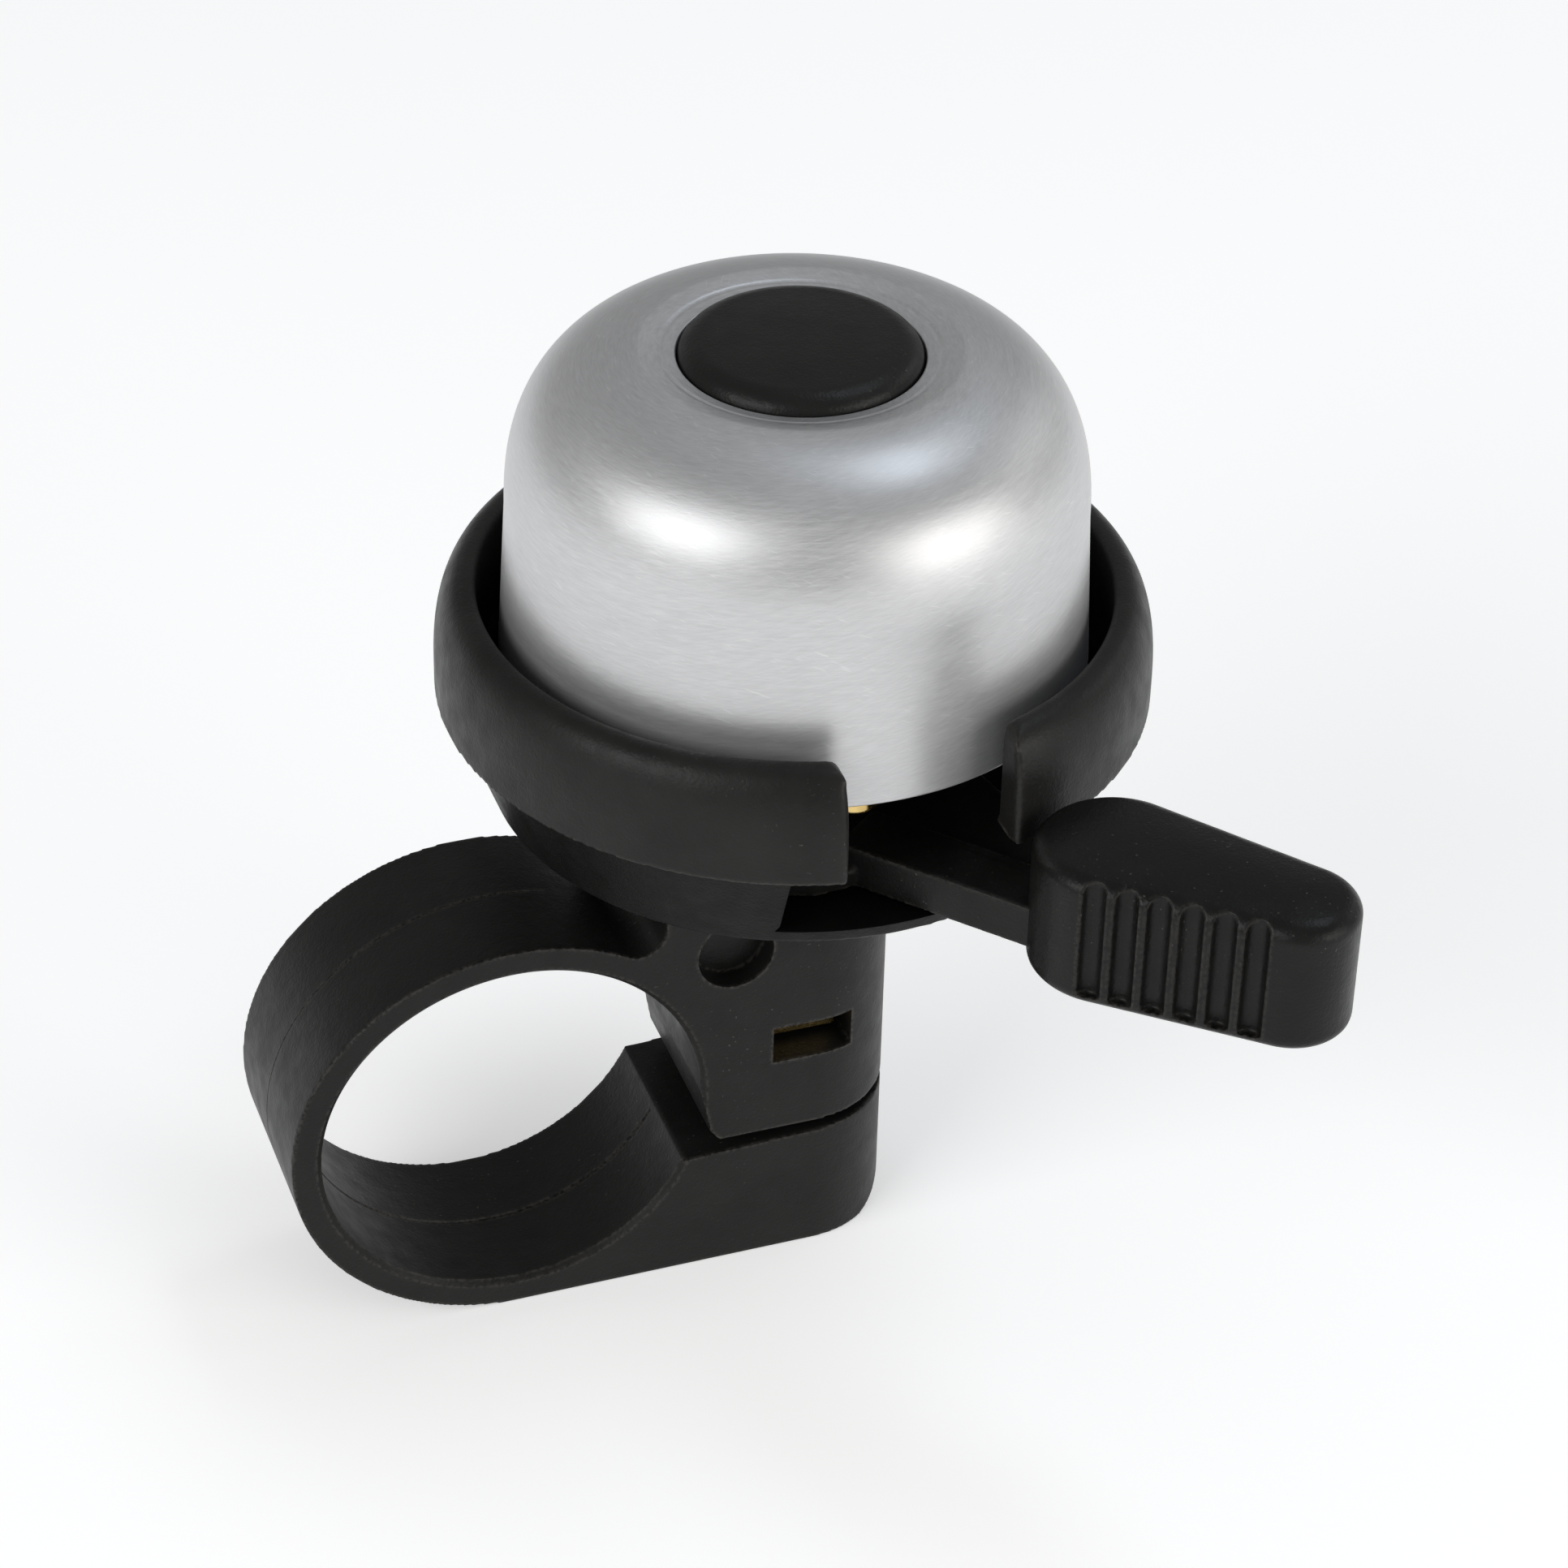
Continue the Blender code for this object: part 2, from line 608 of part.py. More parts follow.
def striker_tab():
    """An upright tab on the lever, which carries the leaf spring."""
    root, along, out = leaf_frame()
    back = root - out * (LEAF_T / 2 + GAP + TAB_T / 2)
    half = along * TAB_L / 2
    shift = along * RIVET_AT
    tab = bar(
        "striker_tab", back + shift - half, back + shift + half, TAB_T,
        (PLATE_BOTTOM + PLATE_TOP) / 2, LEAF_Z[1] + GAP,
    )
    boolean(tab, cutter(rivet_hole("tab_hole")))
    return tab


def rivet_hole(name):
    """A cutter for the hole that the striker's rivet goes through."""
    root, along, out = leaf_frame()
    middle = root + along * RIVET_AT
    height = sum(LEAF_Z) / 2
    near, far = middle + out * TOOL_REACH, middle - out * TOOL_REACH
    return cylinder(name, RIVET_HOLE_R, (*near, height), (*far, height), 12)


def round_rim(obj, level, width, segments):
    """Rounds the edges of an upright prism's face at one height."""
    solid = bmesh.new()
    solid.from_mesh(obj.data)
    flat = [f for f in solid.faces if all(abs(v.co.z - level) < 1e-6 for v in f.verts)]
    cap = bmesh.ops.dissolve_faces(solid, faces=flat)["region"][0]
    rim = list(cap.edges)
    bmesh.ops.bevel(
        solid, geom=rim, offset=width, offset_type="OFFSET", segments=segments, profile=0.5,
        affect="EDGES",
    )
    solid.to_mesh(obj.data)
    solid.free()


def thumb_pad():
    """The grip: a tapered rounded block with upright grooves in its thumb face."""
    inner, outer = Vector(PAD_INNER), Vector(PAD_OUTER)
    along = outer - inner
    lean = math.degrees(math.asin((PAD_INNER_R - PAD_OUTER_R) / along.length))
    heading = math.degrees(math.atan2(along.y, along.x))
    outline = arc(PAD_OUTER, PAD_OUTER_R, heading - 90 + lean, heading + 90 - lean, 12)
    outline += arc(PAD_INNER, PAD_INNER_R, heading + 90 - lean, heading + 270 + lean, 16)
    pad = prism("thumb_pad", outline, PAD_BOTTOM, PAD_TOP)
    round_rim(pad, PAD_TOP, PAD_EDGE, 4)
    round_rim(pad, PAD_BOTTOM, PAD_FOOT_EDGE, 2)

    face = math.radians(heading - 90 + lean)
    normal = Vector((math.cos(face), math.sin(face)))
    run = Vector((-normal.y, normal.x))
    first = inner + normal * (PAD_INNER_R + GROOVE_OFFSET) + run * GROOVE_START
    for index in range(GROOVES):
        place = first + run * GROOVE_PITCH * index
        groove = cylinder(
            f"groove_{index + 1}", GROOVE_R, (*place, GROOVE_FLOOR), (*place, FAR), 12
        )
        boolean(pad, cutter(groove))
    root = Vector(TONGUE_ROOT)
    tip = inner.lerp(outer, 0.25)
    deep = tip + (tip - root).normalized() * GAP
    low, high = TONGUE_BOTTOM - GAP, TONGUE_TOP + GAP
    pocket = bar("tongue_pocket", root, deep, TONGUE_W + 2 * GAP, low, high)
    boolean(pad, cutter(pocket))
    return finish(pad, PLASTIC, 0.45, 0)


def lever_pivot():
    """The shouldered pin that the lever turns on, with its bush, washer and return spring."""
    tail_top = CUP_BOTTOM - GAP
    tail_bottom = tail_top - PIN_TAIL_H
    washer_low = PLATE_TOP + PIN_PLAY
    head_low = washer_low + LEVER_WASHER_H + PIN_PLAY
    head_top = head_low + PIN_HEAD_H
    profile = [
        (0, head_top), (PIN_HEAD_R - SMALL_BEVEL, head_top), (PIN_HEAD_R, head_top - SMALL_BEVEL),
        (PIN_HEAD_R, head_low), (PIN_R, head_low), (PIN_R, tail_top), (PIN_TAIL_R, tail_top),
        (PIN_TAIL_R, tail_top - SMALL_BEVEL), (PIN_TAIL_R - SMALL_BEVEL, tail_bottom),
        (0, tail_bottom),
    ]
    finish(turned("lever_pin", profile, PIVOT, closed=False, steps=24), STEEL, 0.3, 1)
    bore = PIN_R + PIN_PLAY
    bush = ring("lever_bush", bore, BUSH_R, PLATE_BOTTOM, PLATE_TOP, PIVOT, 24)
    finish(bush, BRASS, 0.35, 1)
    washer_top = washer_low + LEVER_WASHER_H
    washer = ring("lever_washer", bore, PIN_HEAD_R, washer_low, washer_top, PIVOT, 24)
    finish(washer, NYLON, 0.5, 0)


def return_spring():
    """Torsion spring coiled round the pin's head, with a leg at each end."""
    steps = 12
    low = PLATE_TOP + GAP + SPRING_WIRE_R
    curve = bpy.data.curves.new("return_spring", "CURVE")
    curve.dimensions = "3D"
    curve.bevel_depth = SPRING_WIRE_R
    curve.bevel_resolution = 1
    curve.use_fill_caps = True
    start = math.radians(SPRING_START)
    leg = Vector((math.sin(start), -math.cos(start), 0)) * SPRING_LEG
    coil = []
    for i in range(int(SPRING_TURNS * steps) + 1):
        angle = SPRING_START + 360 * i / steps
        coil.append(Vector((*polar(PIVOT, SPRING_R, angle), low + SPRING_PITCH * i / steps)))
    points = [coil[0] + leg] + coil + [coil[-1] + leg]
    spline = curve.splines.new("POLY")
    spline.points.add(len(points) - 1)
    for point, place in zip(spline.points, points):
        point.co = (*place, 1)
    wire_object = bpy.data.objects.new("spring_curve", curve)
    parts.objects.link(wire_object)
    bpy.context.view_layer.update()
    graph = bpy.context.evaluated_depsgraph_get()
    mesh = bpy.data.meshes.new_from_object(wire_object.evaluated_get(graph))
    bpy.data.objects.remove(wire_object)
    solid = bmesh.new()
    solid.from_mesh(mesh)
    bmesh.ops.remove_doubles(solid, verts=solid.verts, dist=1e-6)
    bmesh.ops.recalc_face_normals(solid, faces=solid.faces)
    solid.to_mesh(mesh)
    solid.free()
    return finish(add_mesh("return_spring", mesh, parts), STEEL, 0.3, 1)


def striker():
    """Leaf spring, its rivet, and the brass hammer under the dome's rim."""
    root, along, out = leaf_frame()
    height = sum(LEAF_Z) / 2
    hammer_at = Vector(HAMMER)
    leaf = bar("striker_leaf", root - along * TAB_L / 2, hammer_at - along * GAP, LEAF_T, *LEAF_Z)
    boolean(leaf, cutter(rivet_hole("leaf_hole")))
    finish(leaf, STEEL, 0.3, 1)

    middle = root + along * RIVET_AT
    outer_face = middle + out * (LEAF_T / 2 + GAP)
    inner_face = middle - out * (LEAF_T / 2 + 2 * GAP + TAB_T)
    buried = outer_face + out * RIVET_HEAD_H / 2
    rivet = cylinder("striker_rivet", RIVET_R, (*buried, height), (*inner_face, height), 12)
    head = cylinder(
        "rivet_head", RIVET_HEAD_R, (*outer_face, height),
        (*(outer_face + out * RIVET_HEAD_H), height), 16,
    )
    boolean(rivet, cutter(head), "UNION")
    finish(rivet, BRASS, 0.3, 1)

    low, high = HAMMER_Z
    top = arc((0, high - HAMMER_R), HAMMER_R, 90, 0, 5)
    bottom = arc((HAMMER_R - SMALL_BEVEL, low + SMALL_BEVEL), SMALL_BEVEL, 0, -90, 2)
    top[0] = (0, high)
    hammer = turned("hammer", top + bottom + [(0, low)], HAMMER, closed=False, steps=24)
    slit = bar(
        "hammer_slit", hammer_at - along * 2 * HAMMER_R, hammer_at, LEAF_T + 2 * GAP,
        LEAF_Z[0] - GAP, LEAF_Z[1] + GAP,
    )
    boolean(hammer, cutter(slit))
    finish(hammer, BRASS, 0.25, 1)


clear_scene()
parts = new_collection("bicycle_bell")
cutters = new_collection("cutters")
clamp_body()
clamp_lug()
clamp_fasteners()
base_cup()
dome_stack()
dome()
dome_cap()
lever_plate()
thumb_pad()
lever_pivot()
return_spring()
striker()
for helper in list(cutters.objects):
    bpy.data.objects.remove(helper, do_unlink=True)
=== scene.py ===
"""Bicycle bell with a thumb lever: the looks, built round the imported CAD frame.

The frame is in metres, with the origin on the handlebar's axis. Shapes here are drawn in
millimetres in that same frame, and scaled once, when a piece is finished.
"""

import math

import bmesh
import bpy
from mathutils import Matrix, Vector


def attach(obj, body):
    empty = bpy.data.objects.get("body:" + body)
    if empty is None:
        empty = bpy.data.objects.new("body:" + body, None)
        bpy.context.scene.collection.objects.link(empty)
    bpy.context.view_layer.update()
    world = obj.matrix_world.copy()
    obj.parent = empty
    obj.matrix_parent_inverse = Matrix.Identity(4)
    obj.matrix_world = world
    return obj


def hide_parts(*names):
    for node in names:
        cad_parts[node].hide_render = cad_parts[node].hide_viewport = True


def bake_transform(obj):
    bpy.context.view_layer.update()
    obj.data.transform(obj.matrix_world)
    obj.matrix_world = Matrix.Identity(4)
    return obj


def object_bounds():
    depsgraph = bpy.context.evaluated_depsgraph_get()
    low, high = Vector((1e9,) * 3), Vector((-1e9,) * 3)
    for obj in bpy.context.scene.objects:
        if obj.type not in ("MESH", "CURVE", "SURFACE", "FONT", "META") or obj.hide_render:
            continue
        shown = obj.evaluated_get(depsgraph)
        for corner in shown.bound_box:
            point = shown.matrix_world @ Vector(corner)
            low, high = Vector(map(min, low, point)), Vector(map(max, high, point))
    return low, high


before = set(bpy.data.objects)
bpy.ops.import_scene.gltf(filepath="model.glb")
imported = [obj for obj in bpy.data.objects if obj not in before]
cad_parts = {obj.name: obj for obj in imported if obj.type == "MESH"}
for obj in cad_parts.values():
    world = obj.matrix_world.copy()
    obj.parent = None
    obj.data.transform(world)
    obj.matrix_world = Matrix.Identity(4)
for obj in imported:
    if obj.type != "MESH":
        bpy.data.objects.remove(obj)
cad_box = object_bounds()

TO_METRES = 0.001
GAP = 0.3
FAR = 60.0
SPARE = 0.2
TOUCH = 2e-5
CAD_WELD = 1e-3
LEVEL_ROOM = 1e-4

# How each moulding is softened: voxel size, smoothing passes, and the share of its faces kept
CLAMP_SOFT = (0.13, 3, 0.28)
CUP_SOFT = (0.15, 5, 0.25)
PAD_SOFT = (0.1, 2, 0.4)
ARM_SOFT = (0.12, 3, 0.3)

# Clamp, with angles in degrees about the handlebar, anticlockwise from the bell's side
BORE_R = 11.66
BAND_R = 13.47
BAND_STRETCH = 1.045
HALF_W = 6.0
END_X = 19.2
END_R = 6.0
NECK_X = 9.3
BLOCK_TOP = 18.9
BLOCK_BOTTOM = -3.9
BLOCK_SIDE_X = 12.2
BLOCK_CORNER = (0.6, 0.8)
LUG_TOP_INNER = -5.0
LUG_TOP_OUTER = -4.5
LUG_CORNER_R = 3.0
FILLET_R = 1.6
SCREW_X = 18.8
SCREW_R = 1.45
SCREW_HOLE_R = 1.95
SCREW_TIP = 6.6
TIP_ROOM = 1.2
SCREW_HEAD_R = 2.6
SCREW_HEAD_TOP = -11.3
SCREW_HEAD_H = 2.0
SCREW_HEAD_EDGE = 0.5
SCREW_SHANK = 6.0
THREAD_PITCH = 0.5
THREAD_DEPTH = 0.18
CROSS_REACH = 1.6
CROSS_HALF_W = 0.3
CROSS_DEPTH = 1.1
COUNTERBORE_R = 3.1
COUNTERBORE_TOP = -10.2
NUT_SLOT_W = 5.2
NUT_SLOT_H = 2.6
NUT_SLOT_Z = 2.6
NUT_EDGE = 0.18
RECESS = (13.7, 10.2)
RECESS_R = 2.4
RECESS_DEPTH = 1.6
PARTING_W = 0.16
PARTING_DEPTH = 0.1
PARTING_ARC = (75, 262)
INNER_LINE_W = 0.26
INNER_LINE_DEPTH = 0.2
INNER_LINE_ARC = (-28, -200)
GROOVE_ROOM = 0.4
BORE_CHAMFER = 0.32
CHAMFER_ARC = (-21, 334)
BEND_ZONE = ((-0.0131, 0, -0.00395), (-0.0131, 0, -0.00445))

# Cup and collar
BELL = (19.0, 0.0)
CUP_BOTTOM = 19.2
CUP_BOTTOM_R = 18.0
CUP_TOP_R = 20.4
FLOOR_TOP = 20.2
FLOOR_R = 16.7
COLLAR_IN_R = 18.67
COLLAR_R = 21.2
COLLAR_BOTTOM = 25.5
COLLAR_SHOULDER = 27.3
COLLAR_TOP = 32.45
COLLAR_CREST_R = 19.1
COLLAR_CURVE = 2.4
COLLAR_LIP = 0.4
CUP_LEDGE = 0.6
GAP_LEFT = -3.9
GAP_RIGHT = 6.2
GAP_LEFT_CORNER = 0.85
GAP_RIGHT_CORNER = 1.0
GAP_EDGE = 0.55
CUP_BOSS_R = 3.3
CUP_BOSS_TOP = 24.2
WINDOW = (-112.2, -17.0)
WINDOW_DEEP = 14.0
WINDOW_SLANT = 2.85
STUD_FOOT = 10.0
STUD_HOLE_R = 2.3
PIN = (14.0, 8.2)
PIN_HOLE_R = 1.6

# Dome and cap
DOME_RIM = 28.0
DOME_RIM_R = 17.4
DOME_SHOULDER = 37.6
DOME_SHOULDER_R = 16.95
DOME_TOP = 47.95
DOME_WALL = 0.9
DOME_CURVE = 2.5
DOME_EDGE = 0.2
WELL_LIP = 0.12
WELL_R = 7.12
DISH_R = 10.4
DISH_DEPTH = 0.5
RING_R = 8.0
RING_W = 0.1
RING_DEPTH = 0.06
WELL_FLOOR = 43.1
CAP_R = 7.02
CAP_TOP = 48.63
CAP_CROWN = 0.2
CAP_EDGE_W = 1.5
CAP_EDGE_H = 1.2
CAP_BOTTOM = 43.5
CAP_FOOT_EDGE = 0.3
CAP_SKIRT_IN_R = 5.9
CAP_UNDER = 46.6

# Arm and thumb grip
ARM_INNER = (17.0, -13.8)
ARM_OUTER = (24.95, -22.95)
ARM_RIM_W = 3.2
ARM_RIM_Z = (20.45, 23.15)
ARM_INTO_GRIP = 1.6
PAD_LOW = 19.4
PAD_HIGH = 28.1
PAD_INNER = (29.7, -24.2)
PAD_INNER_R = 4.8
PAD_OUTER = (37.2, -32.0)
PAD_OUTER_R = 3.58
PAD_EDGE = 1.05
PAD_FOOT_EDGE = 0.8
PAD_CROWN = 0.45
GROOVES = 6
GROOVE_PITCH = 1.87
GROOVE_R = 0.7
GROOVE_OFFSET = 0.06
GROOVE_START = 0.08
GROOVE_FLOOR = 20.0
TONGUE_ROOT = (26.6, -19.0)
TONGUE_W = 4.6
TONGUE_Z = (20.6, 23.0)

# Striker
HAMMER = (17.5, -14.5)
HAMMER_R = 1.5
HAMMER_Z = (26.4, 32.4)
HAMMER_RING = (29.7, 30.2)
HAMMER_RING_DEPTH = 0.15
HAMMER_RING_SLOPE = 0.1
HAMMER_FOOT_EDGE = 0.4
LEAF_ROOT = (9.7, -6.8)
LEAF_Z = (27.0, 29.2)
LEAF_T = 0.4

# Colours
CHARCOAL_DARK = (0.0072, 0.0070, 0.0066)
CHARCOAL_LIGHT = (0.0104, 0.0100, 0.0094)
# Light edge colour: wear, and a painted sheen on rounded edges
WORN_EDGE_AND_SHEEN = (0.066, 0.062, 0.055)
DUST = (0.10, 0.094, 0.084)
ALUMINIUM_DARK = (0.55, 0.552, 0.557)
ALUMINIUM_LIGHT = (0.655, 0.657, 0.662)
SCRATCH = (0.8, 0.8, 0.8)
NYLON_DARK = (0.55, 0.53, 0.47)
NYLON_LIGHT = (0.66, 0.64, 0.58)

# Studio: camera place in metres, and its angles in degrees
CAMERA_AT = (-0.06123, -0.21721, 0.18081)
CAMERA_TURN = -20.19
CAMERA_RISE = 35.19
CAMERA_ROLL = 1.5
CAMERA_LENS = 107.9
FLOOR_HALF = 6.0
FLOOR_TONE = 0.92
FLOOR_GLOW = 0.38
SKY = 0.3
# name, azimuth, elevation, distance, size, power, colour
SOFTBOXES = (
    ("key_softbox", -67, 27, 0.7, (0.5, 0.36), 2.1, (1, 1, 1)),
    ("fill_softbox", 40, 14, 0.7, (0.54, 0.34), 1.75, (1, 0.985, 0.96)),
    ("top_softbox", 100, 66, 0.9, (0.46, 0.18), 1.0, (0.8, 0.89, 1)),
    ("side_softbox", 100, 22, 1.0, (0.6, 0.4), 0.6, (1, 1, 1)),
)


# ---------------------------------------------------------------- mesh helpers


def add(name, mesh):
    obj = bpy.data.objects.new(name, mesh)
    bpy.context.scene.collection.objects.link(obj)
    return obj


def from_solid(name, solid):
    mesh = bpy.data.meshes.new(name)
    solid.to_mesh(mesh)
    solid.free()
    return add(name, mesh)


def arc(centre, radius, start, end, steps):
    turns = [math.radians(start + (end - start) * i / steps) for i in range(steps + 1)]
    return [(centre[0] + radius * math.cos(t), centre[1] + radius * math.sin(t)) for t in turns]


def polar(centre, radius, angle):
    turn = math.radians(angle)
    return centre[0] + radius * math.cos(turn), centre[1] + radius * math.sin(turn)


def prism(name, outline, low, high, axis="Z"):
    """A closed outline drawn out along Z, or along Y for an X-Z outline."""
    solid = bmesh.new()
    ends = []
    for level in (low, high):
        places = [(a, b, level) if axis == "Z" else (a, level, b) for a, b in outline]
        ends.append([solid.verts.new(place) for place in places])
    lower, upper = ends
    solid.faces.new(lower)
    solid.faces.new(upper)
    for i in range(len(outline)):
        j = (i + 1) % len(outline)
        solid.faces.new((lower[i], lower[j], upper[j], upper[i]))
    bmesh.ops.recalc_face_normals(solid, faces=solid.faces)
    return from_solid(name, solid)


def turned(name, profile, centre, steps, closed=True):
    """A profile of radius and height turned about an upright axis."""
    profile = [p for i, p in enumerate(profile) if i == 0 or math.dist(p, profile[i - 1]) > TOUCH]
    solid = bmesh.new()
    rings = []
    for radius, height in profile:
        if radius < TOUCH:
            rings.append([solid.verts.new((centre[0], centre[1], height))])
            continue
        turns = [2 * math.pi * i / steps for i in range(steps)]
        ring = [(centre[0] + radius * math.cos(t), centre[1] + radius * math.sin(t)) for t in turns]
        rings.append([solid.verts.new((x, y, height)) for x, y in ring])
    pairs = list(zip(rings, rings[1:]))
    if closed:
        pairs.append((rings[-1], rings[0]))
    for first, second in pairs:
        for i in range(steps):
            j = (i + 1) % steps
            corners = [first[i % len(first)], first[j % len(first)]]
            corners += [second[j % len(second)], second[i % len(second)]]
            corners = list(dict.fromkeys(corners))
            if len(corners) > 2:
                solid.faces.new(corners)
    bmesh.ops.recalc_face_normals(solid, faces=solid.faces)
    return from_solid(name, solid)


def rod(name, radius, foot, top, sides=48):
    """A round cutter between two points."""
    foot, top = Vector(foot), Vector(top)
    solid = bmesh.new()
    turn = Vector((0, 0, 1)).rotation_difference(top - foot).to_matrix().to_4x4()
    bmesh.ops.create_cone(
        solid, cap_ends=True, segments=sides, radius1=radius, radius2=radius,
        depth=(top - foot).length, matrix=Matrix.Translation((foot + top) / 2) @ turn,
    )
    return from_solid(name, solid)


def slab(name, low, high):
    outline = [(low[0], low[1]), (high[0], low[1]), (high[0], high[1]), (low[0], high[1])]
    return prism(name, outline, low[2], high[2])


def bar(name, start, end, width, low, high):
    """A square bar between two points seen from above."""
    start, end = Vector(start), Vector(end)
    side = (end - start).normalized().orthogonal() * width / 2
    outline = [start + side, end + side, end - side, start - side]
    return prism(name, [tuple(p) for p in outline], low, high)


def swept(name, section, start, end, steps):
    """A section of radius and Y carried along an arc of the band."""
    solid = bmesh.new()
    rings = []
    for i in range(steps + 1):
        turn = math.radians(start + (end - start) * i / steps)
        across = math.cos(turn) * (BAND_STRETCH if math.cos(turn) < 0 else 1)
        rings.append([solid.verts.new((r * across, y, r * math.sin(turn))) for r, y in section])
    for first, second in zip(rings, rings[1:]):
        for i in range(len(section)):
            j = (i + 1) % len(section)
            solid.faces.new((first[i], first[j], second[j], second[i]))
    solid.faces.new(rings[0])
    solid.faces.new(rings[-1])
    bmesh.ops.recalc_face_normals(solid, faces=solid.faces)
    return from_solid(name, solid)


def swept_groove(name, radius, span, width, depth):
    """A V-shaped cutter that follows the band, with its point at radius + depth."""
    open_side = radius - math.copysign(GROOVE_ROOM, depth)
    section = [(open_side, -1.5 * width), (radius + depth, 0), (open_side, 1.5 * width)]
    return swept(name, section, *span, 96)


def bake(obj):
    """Replaces the object's mesh by what its modifiers make of it."""
    bpy.context.view_layer.update()
    graph = bpy.context.evaluated_depsgraph_get()
    mesh = bpy.data.meshes.new_from_object(obj.evaluated_get(graph))
    obj.modifiers.clear()
    obj.data = mesh
    return obj


def combine(obj, *tools, operation="DIFFERENCE", solver="MANIFOLD"):
    """Cuts the tools from the object (or joins, or intersects), and removes them."""
    for tool in tools:
        modifier = obj.modifiers.new(tool.name, "BOOLEAN")
        modifier.operation = operation
        modifier.object = tool
        modifier.solver = solver
    bake(obj)
    for tool in tools:
        bpy.data.objects.remove(tool)


def soften(obj, voxel, passes, share):
    """Rounds every edge a little, as a moulding's are, by remeshing, smoothing and thinning."""
    remesh = obj.modifiers.new("Voxels", "REMESH")
    remesh.mode = "VOXEL"
    remesh.voxel_size = voxel
    smooth = obj.modifiers.new("Smooth", "SMOOTH")
    smooth.factor = 0.5
    smooth.iterations = passes
    thin = obj.modifiers.new("Thin", "DECIMATE")
    thin.ratio = share
    bake(obj)


def clean(mesh):
    """Joins vertices that fall together and removes faces that lie folded on each other."""
    solid = bmesh.new()
    solid.from_mesh(mesh)
    bmesh.ops.remove_doubles(solid, verts=solid.verts, dist=TOUCH)
    bmesh.ops.triangulate(solid, faces=[face for face in solid.faces if len(face.verts) > 4])
    same = {}
    for face in solid.faces:
        same.setdefault(frozenset(face.verts), []).append(face)
    folded = [face for faces in same.values() if len(faces) > 1 for face in faces]
    bmesh.ops.delete(solid, geom=folded, context="FACES")
    solid.to_mesh(mesh)
    solid.free()


def bevelled_copy(node, name, width, segments=2):
    """A copy of a CAD node's mesh, in millimetres, with its edges rounded."""
    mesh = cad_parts[node].data.copy()
    mesh.transform(Matrix.Scale(1 / TO_METRES, 4))
    mesh.materials.clear()
    solid = bmesh.new()
    solid.from_mesh(mesh)
    bmesh.ops.remove_doubles(solid, verts=solid.verts, dist=CAD_WELD)
    bmesh.ops.dissolve_limit(
        solid, angle_limit=math.radians(1), verts=solid.verts, edges=solid.edges
    )
    solid.to_mesh(mesh)
    solid.free()
    obj = add(name, mesh)
    if width:
        bevel = obj.modifiers.new("Edges", "BEVEL")
        bevel.width = width
        bevel.segments = segments
        bevel.angle_limit = math.radians(40)
    return bake(obj)


def place(obj, look, slot, body, *nodes, sharp=40):
    """Scales a piece to metres, shades it, gives it its material and, when it is given one body,
    puts it on that CAD body.
    """
    mesh = obj.data
    clean(mesh)
    mesh.transform(Matrix.Scale(TO_METRES, 4))
    mesh.shade_smooth()
    mesh.set_sharp_from_angle(angle=math.radians(sharp))
    weigh = obj.modifiers.new("Normals", "WEIGHTED_NORMAL")
    weigh.keep_sharp = True
    bake(obj)
    obj.data.materials.clear()
    obj.data.materials.append(look)
    if isinstance(body, str):
        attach(obj, body)
    else:
        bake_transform(obj)
    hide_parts(*nodes)


# ---------------------------------------------------------------- materials


